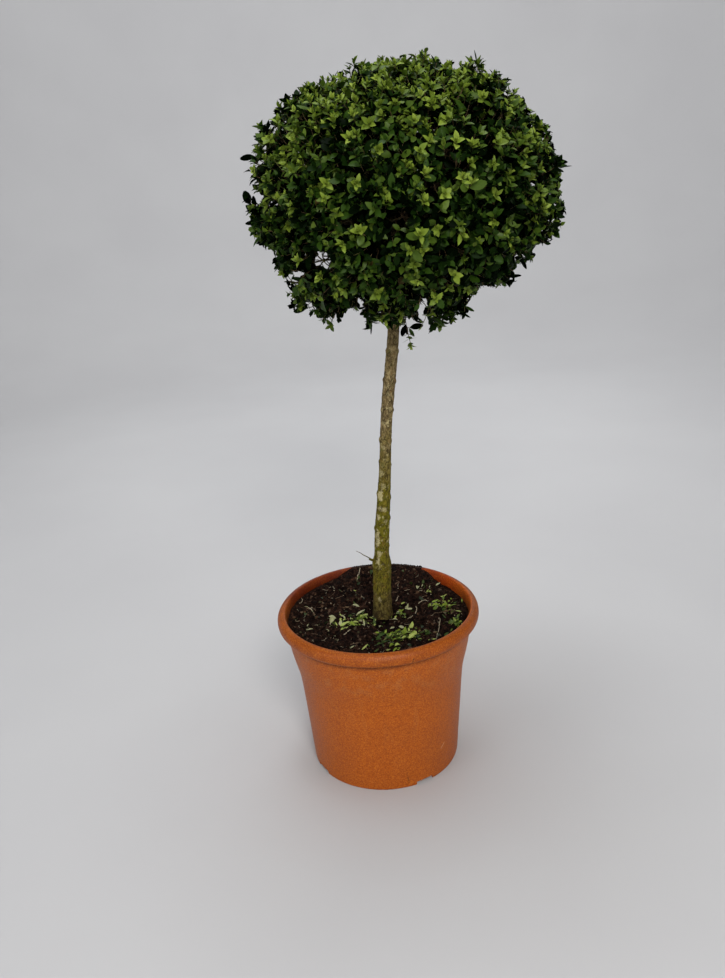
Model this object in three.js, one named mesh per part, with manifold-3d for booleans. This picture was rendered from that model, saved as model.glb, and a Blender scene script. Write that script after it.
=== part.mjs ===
// A box ball clipped on a bare stem (a lollipop standard) in its nursery pot.
// Millimetres, +Z up. The origin is the centre of the pot's flat underside.
import * as THREE from 'three';
import { mergeVertices } from 'three/addons/utils/BufferGeometryUtils.js';
import Module from 'manifold-3d';

const wasm = await Module();
wasm.setup();

// ---------------------------------------------------------------- dimensions
const GAP = 0.3;                 // clearance between touching pieces

// pot: moulded plastic container, about ten litres
const POT_HEIGHT = 228.6;
const POT_RIM_R = 138.2;         // outermost radius of the rolled rim
const POT_RIM_INNER_R = 126.6;   // inner edge of the rim
const POT_RIM_DEPTH = 18;        // height of the rolled rim
const POT_COLLAR_TOP_R = 127.8;  // wall radius just under the rim
const POT_COLLAR_FOOT_R = 118.9; // foot of the wider collar
const POT_COLLAR_FOOT_Z = 158;
const POT_WAIST_R = 112.5;       // top of the plain tapered body
const POT_WAIST_Z = 146;
const POT_FOOT_R = 103.1;
const POT_WALL = 2.8;
const POT_FLOOR = 3.2;
const POT_SEGMENTS = 52;
const NOTCH_COUNT = 4;           // drainage notches in the foot
const NOTCH_FIRST_DEG = -61.5;   // measured from the front, towards +X
const NOTCH_WIDTH = 26;
const NOTCH_HEIGHT = 6;
const NOTCH_DEPTH = 17;          // measured inwards from the foot's edge
const DRAIN_WIDTH = 12;
const DRAIN_LENGTH = 6;

// compost
const COMPOST_LEVEL = 212;       // level where the stem stands
const COMPOST_MOUND = 11;        // rise of the heap against the back wall
const COMPOST_MOUND_AT = [28, 112];
const COMPOST_MOUND_SPREAD = 42;
const COMPOST_BACK_LEFT_RISE = 5;

// stem
const STEM_FOOT = [6.6, 4];
const STEM_FORK_Z = 641;
const STEM_LEAN = 39.6;          // sideways travel from foot to fork
const STEM_LEAN_POWER = 1.5;     // the lean grows upwards
const STEM_LOWER_D = 25.0;       // below the old knot
const STEM_UPPER_D = 20.0;       // just above the old knot
const STEM_FORK_D = 14.6;
const STEM_KNOT_Z = 292;
const STEM_KNOT_SWELL = 1.6;
const STEM_FLARE = 2.4;          // extra diameter at the root flare
const STEM_HEAD_D = 20;          // swollen head from which the boughs part
const STEM_SIDES = 18;
const STEM_RINGS = 27;
const STUB_LENGTH = 7;           // stub of a lost side shoot, at the knot
const STUB_D = 3.8;

// boughs: four round the head and a leader
const BOUGH_COUNT = 5;
const BOUGH_D = 8.6;
const BOUGH_TIP_D = 6.2;
const BOUGH_REACH = 44;
const BOUGH_SIDES = 10;
const BOUGH_RINGS = 6;

// crown: one clipped ball
const CROWN_CENTRE = [60, 0, 760];
const CROWN_RX = 181;
const CROWN_RY = 179;
const CROWN_RZ = 148;
const CROWN_SQUARENESS = 1.95;   // 2 is an ellipsoid, more is fuller
const CROWN_DETAIL = 10;
const CROWN_LUMP = 3.0;          // height of the leafy unevenness
const HOLLOW = { at: [43, 1, 611], r: 43, h: 55 };  // bare hollow round the fork

// rises and dips of the clipped outline, every 20 degrees round it, from +X up
const CROWN_OUTLINE = [4.3, 0.4, 4.2, 6, 0.4, -0.6, 0.3, 4.1, 3.1, -4, -8.8, 10, -2.6, -1.2, 4.1, -7.3, -12.2, -1.4];

// bulges and dips of the front and back: azimuth from +X towards +Y,
// elevation, angular spread, rise
const CROWN_LOBES = [
  { az: 300, el: 20, spread: 18, rise: 5 },
  { az: 250, el: -12, spread: 16, rise: 6 },
  { az: 285, el: -42, spread: 13, rise: -6 },
  { az: 272, el: 52, spread: 15, rise: 3 },
  { az: 100, el: 12, spread: 17, rise: 6 },
  { az: 60, el: -22, spread: 15, rise: 5 },
  { az: 118, el: -44, spread: 13, rise: -6 },
  { az: 135, el: -14, spread: 14, rise: -4 },
  { az: 78, el: 55, spread: 16, rise: 4 },
];

const TAU = Math.PI * 2;
const rad = THREE.MathUtils.degToRad;
const lerp = THREE.MathUtils.lerp;
const smooth = (x, a, b) => THREE.MathUtils.smoothstep(x, a, b);

// ------------------------------------------------------------------- helpers
function weld(geometry) {
  const g = geometry.index ? geometry.toNonIndexed() : geometry.clone();
  for (const name of Object.keys(g.attributes)) {
    if (name !== 'position') g.deleteAttribute(name);
  }
  return mergeVertices(g, 1e-3);
}

function signedVolume(positions, triangles) {
  const a = new THREE.Vector3(), b = new THREE.Vector3(), c = new THREE.Vector3();
  let v = 0;
  for (let i = 0; i < triangles.length; i += 3) {
    a.fromArray(positions, triangles[i] * 3);
    b.fromArray(positions, triangles[i + 1] * 3);
    c.fromArray(positions, triangles[i + 2] * 3);
    v += a.dot(b.cross(c)) / 6;
  }
  return v;
}

// a closed geometry as a solid that can be joined and cut
function solidOf(geometry) {
  const g = weld(geometry);
  const positions = Float32Array.from(g.attributes.position.array);
  const kept = [];
  const index = g.index.array;
  for (let i = 0; i < index.length; i += 3) {
    const [p, q, r] = [index[i], index[i + 1], index[i + 2]];
    if (p !== q && q !== r && r !== p) kept.push(p, q, r);
  }
  const triangles = Uint32Array.from(kept);
  if (signedVolume(positions, triangles) < 0) {
    for (let i = 0; i < triangles.length; i += 3) {
      const t = triangles[i];
      triangles[i] = triangles[i + 1];
      triangles[i + 1] = t;
    }
  }
  return new wasm.Manifold(new wasm.Mesh({ numProp: 3, vertProperties: positions, triVerts: triangles }));
}

function geometryOf(solid) {
  const m = solid.getMesh();
  const g = new THREE.BufferGeometry();
  const flat = new Float32Array(m.triVerts.length * 3);
  for (let i = 0; i < m.triVerts.length; i++) {
    for (let k = 0; k < 3; k++) flat[i * 3 + k] = m.vertProperties[m.triVerts[i] * m.numProp + k];
  }
  g.setAttribute('position', new THREE.BufferAttribute(flat, 3));
  g.computeVertexNormals();
  return g;
}

// turned solid: profile of [radius, height] pairs that starts and ends on the axis
function turned(profile, segments = POT_SEGMENTS) {
  const g = new THREE.LatheGeometry(profile.map(([r, z]) => new THREE.Vector2(r, z)), segments);
  return g.rotateX(Math.PI / 2);
}

function block(width, length, height, x, y, z, turn) {
  const g = new THREE.BoxGeometry(width, length, height);
  g.translate(x, y, z);
  return g.rotateZ(turn);
}

// uneven ripple from a few waves, always the same
function ripple(x, y, z, wavelength, seed) {
  const k = TAU / wavelength;
  let s = 0;
  for (let i = 0; i < 5; i++) {
    const a = seed * 1.7 + i * 2.399;
    const b = Math.sin(seed * 3.1 + i * 1.9);
    s += Math.sin(k * (1 + 0.23 * i) * (x * Math.cos(a) + y * Math.sin(a) + z * b) + seed + i * 1.3);
  }
  return s / 5;
}

// a limb: a cylinder bent along a curve, with its radius given by a function of
// the distance along it and the angle round it
function limb(curve, radiusAt, sides, rings, stations) {
  const g = new THREE.CylinderGeometry(1, 1, 1, sides, rings);
  const p = g.attributes.position;
  const frames = curve.computeFrenetFrames(200, false);
  for (let i = 0; i < p.count; i++) {
    const x = p.getX(i), z = p.getZ(i);
    const step = Math.round((p.getY(i) + 0.5) * rings);
    const t = stations ? stations[step] : step / rings;
    const f = Math.round(t * 200);
    const r = Math.hypot(x, z) > 0.5 ? radiusAt(t, Math.atan2(z, x)) : 0;
    const at = curve.getPointAt(t);
    const a = Math.atan2(z, x);
    at.addScaledVector(frames.normals[f], r * Math.cos(a));
    at.addScaledVector(frames.binormals[f], r * Math.sin(a));
    p.setXYZ(i, at.x, at.y, at.z);
  }
  return g;
}

// ----------------------------------------------------------------------- pot
const rimFoot = POT_HEIGHT - POT_RIM_DEPTH;
const outerProfile = [
  [0, 0],
  [POT_FOOT_R - 2.6, 0],
  [POT_FOOT_R - 0.7, 0.9],
  [POT_FOOT_R, 3],
  [POT_WAIST_R, POT_WAIST_Z],
  [POT_COLLAR_FOOT_R, POT_COLLAR_FOOT_Z],
  [lerp(POT_COLLAR_FOOT_R, POT_COLLAR_TOP_R, 0.55), 182],
  [POT_COLLAR_TOP_R, rimFoot],
  [POT_RIM_R - 2.6, rimFoot + 0.7],
  [POT_RIM_R - 0.7, rimFoot + 3.4],
  [POT_RIM_R, rimFoot + 8.2],
  [POT_RIM_R - 1.1, rimFoot + 12.6],
  [POT_RIM_R - 4.2, POT_HEIGHT - 1.5],
  [POT_RIM_R - 8.0, POT_HEIGHT],
  [POT_RIM_INNER_R + 1.6, POT_HEIGHT - 0.4],
  [POT_RIM_INNER_R + 0.2, POT_HEIGHT - 2.4],
];
const innerProfile = [
  [POT_FOOT_R - POT_WALL - 2.4, POT_FLOOR],
  [POT_FOOT_R - POT_WALL, POT_FLOOR + 2.6],
  [POT_WAIST_R - POT_WALL, POT_WAIST_Z],
  [POT_COLLAR_FOOT_R - POT_WALL, POT_COLLAR_FOOT_Z + 1],
  [POT_COLLAR_TOP_R - POT_WALL - 0.9, 206],
  [POT_RIM_INNER_R - 1.5, 220],
  [POT_RIM_INNER_R - 0.3, POT_HEIGHT - 4.2],
];

const notchTurns = Array.from({ length: NOTCH_COUNT },
  (_, i) => rad(NOTCH_FIRST_DEG + (360 / NOTCH_COUNT) * i));
const notchInner = POT_FOOT_R - NOTCH_DEPTH;

// block on the notch's centre line; spans from radius a outwards to radius b
const notchBlock = (turn, width, a, b, z0, z1) =>
  block(width, b - a, z1 - z0, 0, -(a + b) / 2, (z0 + z1) / 2, turn);

function makePot() {
  const whole = [...outerProfile, ...[...innerProfile].reverse(), [0, POT_FLOOR]];
  let pot = solidOf(turned(whole));
  const envelope = solidOf(turned([...outerProfile.slice(0, 6), [0, POT_COLLAR_FOOT_Z]]));
  for (const turn of notchTurns) {
    // raised housing over the notch, inside the pot
    const housing = solidOf(notchBlock(turn, NOTCH_WIDTH + 2 * POT_WALL,
      notchInner - POT_WALL, POT_FOOT_R + 6, 0, NOTCH_HEIGHT + POT_WALL)).intersect(envelope);
    pot = pot.add(housing);
  }
  for (const turn of notchTurns) {
    pot = pot.subtract(solidOf(notchBlock(turn, NOTCH_WIDTH, notchInner, POT_FOOT_R + 8, -4, NOTCH_HEIGHT)));
    // drain hole from the compost down into the notch
    const mid = notchInner + NOTCH_DEPTH * 0.42;
    pot = pot.subtract(solidOf(notchBlock(turn, DRAIN_WIDTH, mid - DRAIN_LENGTH / 2, mid + DRAIN_LENGTH / 2,
      NOTCH_HEIGHT - 3, NOTCH_HEIGHT + POT_WALL + 5)));
  }
  return pot;
}

// ------------------------------------------------------------------- compost
function compostHeight(x, y) {
  const r = Math.hypot(x, y);
  const mound = COMPOST_MOUND * Math.exp(-((x - COMPOST_MOUND_AT[0]) ** 2 + (y - COMPOST_MOUND_AT[1]) ** 2)
    / (2 * COMPOST_MOUND_SPREAD ** 2));
  const backLeft = COMPOST_BACK_LEFT_RISE * smooth(-x * 0.5 + y * 0.87, 30, 110);
  return COMPOST_LEVEL + mound + backLeft + 1.1 * smooth(r, 20, 90) * ripple(x, y, 0, 46, 2.2)
    - 1.2 * smooth(-y, 50, 115);
}

function makeCompost() {
  const rings = [1, 0.9, 0.84, 0.76, 0.66, 0.54, 0.42, 0.3, 0.16, 0];
  const over = POT_RIM_R;                            // wider than the pot's inside, then cut to it
  const profile = [[0, POT_FLOOR + GAP], [over, POT_FLOOR + GAP], ...rings.map((f) => [over * f, 500])];
  const g = turned(profile);
  const p = g.attributes.position;
  for (let i = 0; i < p.count; i++) {
    if (p.getZ(i) < 499) continue;
    const r = Math.hypot(p.getX(i), p.getY(i));
    const f = r / over;
    const pull = 1.25 * (1 - f) ** 2;                // inner rings centre on the stem
    const x = p.getX(i) + STEM_FOOT[0] * pull;
    const y = p.getY(i) + STEM_FOOT[1] * pull;
    p.setXYZ(i, x, y, f < 0.2 ? COMPOST_LEVEL : compostHeight(x, y));
  }
  const inside = innerProfile.map(([r, z]) => [r - GAP, z]);
  const [rTop] = inside[inside.length - 1];
  let compost = solidOf(g).intersect(solidOf(turned([[0, POT_FLOOR], ...inside, [rTop + 4, POT_HEIGHT + 20], [0, POT_HEIGHT + 20]])));
  for (const turn of notchTurns) {
    compost = compost.subtract(solidOf(notchBlock(turn, NOTCH_WIDTH + 2 * (POT_WALL + GAP),
      notchInner - POT_WALL - GAP, POT_FOOT_R + 9, -2, NOTCH_HEIGHT + POT_WALL + GAP)));
  }
  return compost;
}

// ---------------------------------------------------------------------- stem
const stemFootZ = COMPOST_LEVEL + GAP;
const stemRise = STEM_FORK_Z - stemFootZ;

class StemLine extends THREE.Curve {
  getPoint(t, target = new THREE.Vector3()) {
    const z = stemFootZ + stemRise * t;
    const x = STEM_FOOT[0] + STEM_LEAN * Math.pow(Math.max(t, 0), STEM_LEAN_POWER) + 0.5 * Math.sin(t * 17);
    const y = STEM_FOOT[1] * (1 - t) + 1.0 * Math.sin(t * 11 + 1) - 0.84 * (1 - t);
    return target.set(x, y, z);
  }
}
const stemLine = new StemLine();

function stemRadius(t, a, extra = 0) {
  const z = stemFootZ + stemRise * t;
  const upper = lerp(STEM_UPPER_D, STEM_FORK_D, smooth(z, STEM_KNOT_Z, 480) * 0.8 + 0.2 * t);
  let d = lerp(STEM_LOWER_D, upper, smooth(z, STEM_KNOT_Z - 4, STEM_KNOT_Z + 14));
  d += STEM_KNOT_SWELL * Math.exp(-(((z - STEM_KNOT_Z + 5) / 9) ** 2));
  d += STEM_FLARE * Math.exp(-(z - stemFootZ) / 9);
  d = lerp(d, STEM_HEAD_D, smooth(z, STEM_FORK_Z - 34, STEM_FORK_Z - 9));
  const top = (z - (STEM_FORK_Z - 9)) / 9;            // rounded over the head
  if (top > 0) d *= Math.sqrt(Math.max(0.2, 1 - 0.8 * top * top));
  const uneven = 0.35 * Math.sin(3 * a + z * 0.021) + 0.25 * Math.sin(2 * a - z * 0.034 + 1);
  return d / 2 + uneven * (1 - smooth(t, 0.9, 1)) + extra;
}

const stemStations = (() => {
  const s = [0, 0.012, 0.035];
  const dense = [0.10, 0.135, 0.16, 0.176, 0.19, 0.205, 0.225, 0.26];
  s.push(...dense);
  const from = 0.30, to = 0.915, n = STEM_RINGS + 1 - s.length - 5;
  for (let i = 0; i < n; i++) s.push(lerp(from, to, i / (n - 1)));
  s.push(0.94, 0.962, 0.98, 0.992, 1);
  return s;
})();

function makeStem(extra = 0) {
  const shape = limb(stemLine, (t, a) => stemRadius(t, a, extra), STEM_SIDES, STEM_RINGS, stemStations);
  const p = shape.attributes.position;
  for (let i = 0; i < p.count; i++) {                // level cut at the compost
    if (p.getZ(i) < stemFootZ + 1.5) p.setZ(i, stemFootZ);
  }
  const stem = solidOf(shape);
  if (extra > 0) return stem;
  const t = (STEM_KNOT_Z - 2 - stemFootZ) / stemRise;
  const root = stemLine.getPoint(t);
  const r = stemRadius(t, Math.PI);
  const out = new THREE.Vector3(-0.88, -0.2, 0.43).normalize();
  const foot = new THREE.Vector3(root.x - r * 0.5, root.y, root.z);
  const reach = r * 0.62 + STUB_LENGTH;
  const stub = new THREE.CatmullRomCurve3([0, 0.5, 1].map((s) => foot.clone().addScaledVector(out, reach * s)));
  return stem.add(solidOf(limb(stub, (s) => lerp(STUB_D, STUB_D * 0.55, s) / 2, 8, 4)));
}

// -------------------------------------------------------------------- boughs
function boughCurve(k) {
  const leader = k === BOUGH_COUNT - 1;
  const az = rad(leader ? 60 : 32 + 90 * k + 9 * Math.sin(k * 2.3));
  const el = rad(leader ? 78 : 33 + 4 * Math.sin(k * 1.7 + 1));
  const head = stemLine.getPoint(1);
  const start = head.clone().add(new THREE.Vector3(0, 0, leader ? -6 : -9.5));
  const dir = new THREE.Vector3(Math.cos(az) * Math.cos(el), Math.sin(az) * Math.cos(el), Math.sin(el));
  const reach = leader ? BOUGH_REACH * 0.86 : BOUGH_REACH;
  const mid = start.clone().addScaledVector(dir, reach * 0.5).add(new THREE.Vector3(0, 0, leader ? 0 : -1.5));
  const end = start.clone().addScaledVector(dir, reach).add(new THREE.Vector3(0, 0, leader ? 0 : 4));
  return new THREE.CatmullRomCurve3([start, mid, end]);
}

function makeBough(k, extra = 0) {
  const shape = limb(boughCurve(k), (t, a) => lerp(BOUGH_D, BOUGH_TIP_D, t) / 2
    + 0.12 * Math.sin(2 * a + k) + extra, BOUGH_SIDES, BOUGH_RINGS);
  return solidOf(shape);
}

// --------------------------------------------------------------------- crown
function direction(azDeg, elDeg) {
  const a = rad(azDeg), e = rad(elDeg);
  return new THREE.Vector3(Math.cos(a) * Math.cos(e), Math.sin(a) * Math.cos(e), Math.sin(e));
}

function outlineRise(d) {
  const n = CROWN_OUTLINE.length;
  const turn = ((Math.atan2(d.z, d.x) / TAU + 1) % 1) * n;
  const i = Math.floor(turn);
  const rise = lerp(CROWN_OUTLINE[i % n], CROWN_OUTLINE[(i + 1) % n], smooth(turn - i, 0, 1));
  return rise * Math.pow(Math.max(0, 1 - d.y * d.y), 1.5);
}

function crownRadius(d) {
  const p = CROWN_SQUARENESS;
  let r = Math.pow(Math.abs(d.x / CROWN_RX) ** p + Math.abs(d.y / CROWN_RY) ** p
    + Math.abs(d.z / CROWN_RZ) ** p, -1 / p);
  r += outlineRise(d);
  for (const lobe of CROWN_LOBES) {
    const off = THREE.MathUtils.radToDeg(d.angleTo(direction(lobe.az, lobe.el)));
    r += lobe.rise * Math.exp(-0.5 * (off / lobe.spread) ** 2);
  }
  return r + CROWN_LUMP * ripple(d.x * r, d.y * r, d.z * r, 74, 5.3);
}

function makeCrown(trunkHead, boughs) {
  const g = new THREE.IcosahedronGeometry(1, CROWN_DETAIL);
  const p = g.attributes.position;
  const d = new THREE.Vector3();
  for (let i = 0; i < p.count; i++) {
    d.set(Math.round(p.getX(i) * 1e6) / 1e6, Math.round(p.getY(i) * 1e6) / 1e6, Math.round(p.getZ(i) * 1e6) / 1e6)
      .normalize();
    const r = crownRadius(d);
    p.setXYZ(i, CROWN_CENTRE[0] + d.x * r, CROWN_CENTRE[1] + d.y * r, CROWN_CENTRE[2] + d.z * r);
  }
  let crown = solidOf(g);
  const hollow = new THREE.SphereGeometry(1, 22, 12);
  hollow.rotateX(Math.PI / 2);
  hollow.scale(HOLLOW.r, HOLLOW.r, HOLLOW.h);
  hollow.translate(...HOLLOW.at);
  crown = crown.subtract(solidOf(hollow));
  crown = crown.subtract(trunkHead);
  for (const b of boughs) crown = crown.subtract(b);
  return crown;
}

// ------------------------------------------------------------------ assembly
const material = (color, roughness) => new THREE.MeshStandardMaterial({ color, roughness, metalness: 0 });

const group = new THREE.Group();
group.name = 'lollipop_topiary';
function addPiece(name, solid, mat) {
  const mesh = new THREE.Mesh(geometryOf(solid), mat);
  mesh.name = name;
  group.add(mesh);
}

const fatStem = makeStem(GAP);
const boughIds = Array.from({ length: BOUGH_COUNT }, (_, k) => k);

addPiece('pot', makePot(), material('#b9602b', 0.55));
addPiece('compost', makeCompost(), material('#211a17', 0.95));
addPiece('trunk', makeStem(), material('#6d6b3f', 0.85));
for (const k of boughIds) {
  addPiece(`bough_${k + 1}`, makeBough(k).subtract(fatStem), material('#6b5f45', 0.85));
}
addPiece('crown', makeCrown(fatStem, boughIds.map((k) => makeBough(k, GAP + 0.1))), material('#4f6b22', 0.8));

export default group;
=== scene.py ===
import math
import bpy
import numpy as np
from mathutils import Matrix, Vector
from mathutils.bvhtree import BVHTree
from mathutils.kdtree import KDTree


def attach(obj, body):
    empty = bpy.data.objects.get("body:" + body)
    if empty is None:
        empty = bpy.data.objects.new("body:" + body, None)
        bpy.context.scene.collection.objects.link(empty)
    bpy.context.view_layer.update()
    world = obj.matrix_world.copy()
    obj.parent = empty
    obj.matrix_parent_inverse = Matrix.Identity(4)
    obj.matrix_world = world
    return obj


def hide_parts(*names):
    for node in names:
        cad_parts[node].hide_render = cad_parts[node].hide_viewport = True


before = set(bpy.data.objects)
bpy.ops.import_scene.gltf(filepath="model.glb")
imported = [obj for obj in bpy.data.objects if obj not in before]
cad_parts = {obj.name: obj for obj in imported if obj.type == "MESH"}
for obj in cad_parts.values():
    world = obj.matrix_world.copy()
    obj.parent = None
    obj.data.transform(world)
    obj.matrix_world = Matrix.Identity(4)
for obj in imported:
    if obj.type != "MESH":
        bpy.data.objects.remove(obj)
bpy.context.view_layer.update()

MM = 0.001
TAU = 2 * math.pi
rng = np.random.default_rng(20817)
scene = bpy.context.scene
ROOT = "root"

# --------------------------------------------------------------- the camera
# Its place in the row frame, in millimetres, and how far it looks down and leans.
CAM_AT = np.array([-9.875, -1134.535, 822.007])
CAM_PITCH = math.radians(20.444)
CAM_ROLL = math.radians(-3.847)
CAM_FOCAL = 925.0                      # in pixels of a 725 x 978 picture
IMG = (725, 978)

cam_fwd = np.array([0, math.cos(CAM_PITCH), -math.sin(CAM_PITCH)])
_right = np.array([1.0, 0, 0])
_up = np.cross(_right, cam_fwd)
cam_right = math.cos(CAM_ROLL) * _right + math.sin(CAM_ROLL) * _up
cam_up = -math.sin(CAM_ROLL) * _right + math.cos(CAM_ROLL) * _up

cam_data = bpy.data.cameras.new("camera")
cam_data.sensor_width = 36
cam_data.lens = CAM_FOCAL * 36 / IMG[1]
cam_data.clip_start = 0.05
cam_data.clip_end = 30
camera = bpy.data.objects.new("camera", cam_data)
camera.matrix_world = Matrix((
    (cam_right[0], cam_up[0], -cam_fwd[0], CAM_AT[0] * MM),
    (cam_right[1], cam_up[1], -cam_fwd[1], CAM_AT[1] * MM),
    (cam_right[2], cam_up[2], -cam_fwd[2], CAM_AT[2] * MM),
    (0, 0, 0, 1)))
scene.collection.objects.link(camera)
scene.camera = camera


def seen_at(p):
    """Where points (N,3) fall in the picture: (N,2), in its pixels."""
    d = np.asarray(p, float) - CAM_AT
    z = d @ cam_fwd
    return np.stack([IMG[0] / 2 + CAM_FOCAL * (d @ cam_right) / z,
                     IMG[1] / 2 - CAM_FOCAL * (d @ cam_up) / z], -1)


def sight(u, v):
    """Direction in which the camera sees picture point (u, v)."""
    d = cam_fwd + cam_right * (u - IMG[0] / 2) / CAM_FOCAL - cam_up * (v - IMG[1] / 2) / CAM_FOCAL
    return d / np.linalg.norm(d)


# ------------------------------------------------------------------ helpers
def unit(v):
    v = np.asarray(v, float)
    return v / np.maximum(np.linalg.norm(v, axis=-1, keepdims=True), 1e-9)


def lerp(a, b, t):
    return a + (b - a) * t


def smooth(x, a, b):
    t = np.clip((np.asarray(x, float) - a) / (b - a), 0, 1)
    return t * t * (3 - 2 * t)


def dots(a, b):
    return np.sum(a * b, axis=-1, keepdims=True)


def _hash(ix, iy, iz, seed):
    h = (ix * 374761393 + iy * 668265263 + iz * 1442695041 + seed * 1274126177) & 0xFFFFFFFF
    h = ((h ^ (h >> 13)) * 1274126177) & 0xFFFFFFFF
    h = h ^ (h >> 16)
    return (h & 0xFFFF) / 65535.0


def vnoise(p, seed=0):
    i = np.floor(p).astype(np.int64)
    f = p - i
    u = f * f * f * (f * (f * 6 - 15) + 10)
    out = np.zeros(len(p))
    for dx in (0, 1):
        wx = u[:, 0] if dx else 1 - u[:, 0]
        for dy in (0, 1):
            wy = u[:, 1] if dy else 1 - u[:, 1]
            for dz in (0, 1):
                wz = u[:, 2] if dz else 1 - u[:, 2]
                out += wx * wy * wz * _hash(i[:, 0] + dx, i[:, 1] + dy, i[:, 2] + dz, seed)
    return out


def fbm(p, scale, octaves=3, seed=0, gain=0.5):
    """Uneven noise about 0.5, with features of about scale millimetres."""
    total, amp, norm = 0, 1.0, 0
    q = np.asarray(p, float) / scale
    for k in range(octaves):
        total = total + amp * vnoise(q + 17.3 * k + 101.7, seed + 31 * k)
        norm += amp
        amp *= gain
        q = q * 2.03
    return total / norm


def grid(rows, cols, wrap=True):
    """Quads of a grid of rows x cols points, closed round the columns or not."""
    c = np.arange(cols if wrap else cols - 1)
    r = np.arange(rows - 1)[:, None]
    a = r * cols + c
    b = r * cols + (c + 1) % cols
    return np.stack([a, b, b + cols, a + cols], -1).reshape(-1, 4)


def mesh_object(name, verts, quads=None, tris=None, mats=(), qmat=None, tmat=None, fields=None, flat=False):
    quads = np.zeros((0, 4), np.int64) if quads is None else np.asarray(quads)
    tris = np.zeros((0, 3), np.int64) if tris is None else np.asarray(tris)
    me = bpy.data.meshes.new(name)
    me.vertices.add(len(verts))
    me.vertices.foreach_set("co", (np.asarray(verts) * MM).astype(np.float32).ravel())
    loops = np.concatenate([quads.ravel(), tris.ravel()]).astype(np.int32)
    me.loops.add(len(loops))
    me.loops.foreach_set("vertex_index", loops)
    n = len(quads) + len(tris)
    starts = np.concatenate([np.arange(len(quads)) * 4, len(quads) * 4 + np.arange(len(tris)) * 3])
    me.polygons.add(n)
    me.polygons.foreach_set("loop_start", starts.astype(np.int32))
    if qmat is not None or tmat is not None:
        qm = np.zeros(len(quads), np.int32) if qmat is None else np.asarray(qmat)
        tm = np.zeros(len(tris), np.int32) if tmat is None else np.asarray(tmat)
        me.polygons.foreach_set("material_index", np.concatenate([qm, tm]).astype(np.int32))
    me.polygons.foreach_set("use_smooth", np.full(n, not flat, bool))
    for m in mats:
        me.materials.append(m)
    me.update(calc_edges=True)
    for key, values in (fields or {}).items():
        a = me.attributes.new(key, "FLOAT", "POINT")
        a.data.foreach_set("value", np.asarray(values, np.float32))
    me.validate()
    o = bpy.data.objects.new(name, me)
    scene.collection.objects.link(o)
    return o


def piece(o, slot, *nodes):
    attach(o, ROOT)
    if nodes:
        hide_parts(*nodes)
    return o


def srgb(r, g, b):
    f = lambda c: c / 12.92 if c <= 0.04045 else ((c + 0.055) / 1.055) ** 2.4
    return (f(r / 255), f(g / 255), f(b / 255), 1)


def tubes(points, radii, sides, ref=None):
    """Tubes along points (N,K,3) with radii (N,K): vertices and quads."""
    p = np.asarray(points, float)
    n, k = p.shape[:2]
    t = np.empty_like(p)
    t[:, 1:-1] = p[:, 2:] - p[:, :-2]
    t[:, 0] = p[:, 1] - p[:, 0]
    t[:, -1] = p[:, -1] - p[:, -2]
    t = unit(t)
    u = np.cross(t[:, 0], np.array([0.31, 0.17, 0.93]) if ref is None else ref)
    us = [unit(u)]
    for j in range(1, k):
        w = us[-1] - t[:, j] * dots(us[-1], t[:, j])
        us.append(unit(w))
    u = np.stack(us, 1)
    v = np.cross(t, u)
    a = np.arange(sides) * TAU / sides
    ring = np.cos(a)[:, None] * u[:, :, None, :] + np.sin(a)[:, None] * v[:, :, None, :]
    verts = p[:, :, None, :] + ring * np.asarray(radii)[:, :, None, None]
    one = grid(k, sides)
    quads = (np.arange(n) * k * sides)[:, None, None] + one[None]
    return verts.reshape(-1, 3), quads.reshape(-1, 4)


def hermite(p0, m0, p1, m1, u):
    """Points on a curve from p0 to p1 at u (K,) -> (N,K,3); p, m are (N,3)."""
    u = np.asarray(u, float)
    if u.ndim == 1:
        u = np.broadcast_to(u, (len(p0), len(u)))
    u = u[..., None]
    return ((2 * u**3 - 3 * u**2 + 1) * p0[:, None] + (u**3 - 2 * u**2 + u) * m0[:, None]
            + (-2 * u**3 + 3 * u**2) * p1[:, None] + (u**3 - u**2) * m1[:, None])


def hermite_dir(p0, m0, p1, m1, u):
    u = np.asarray(u, float)[..., None]
    return unit((6 * u**2 - 6 * u) * p0[:, None] + (3 * u**2 - 4 * u + 1) * m0[:, None]
                + (-6 * u**2 + 6 * u) * p1[:, None] + (3 * u**2 - 2 * u) * m1[:, None])


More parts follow.
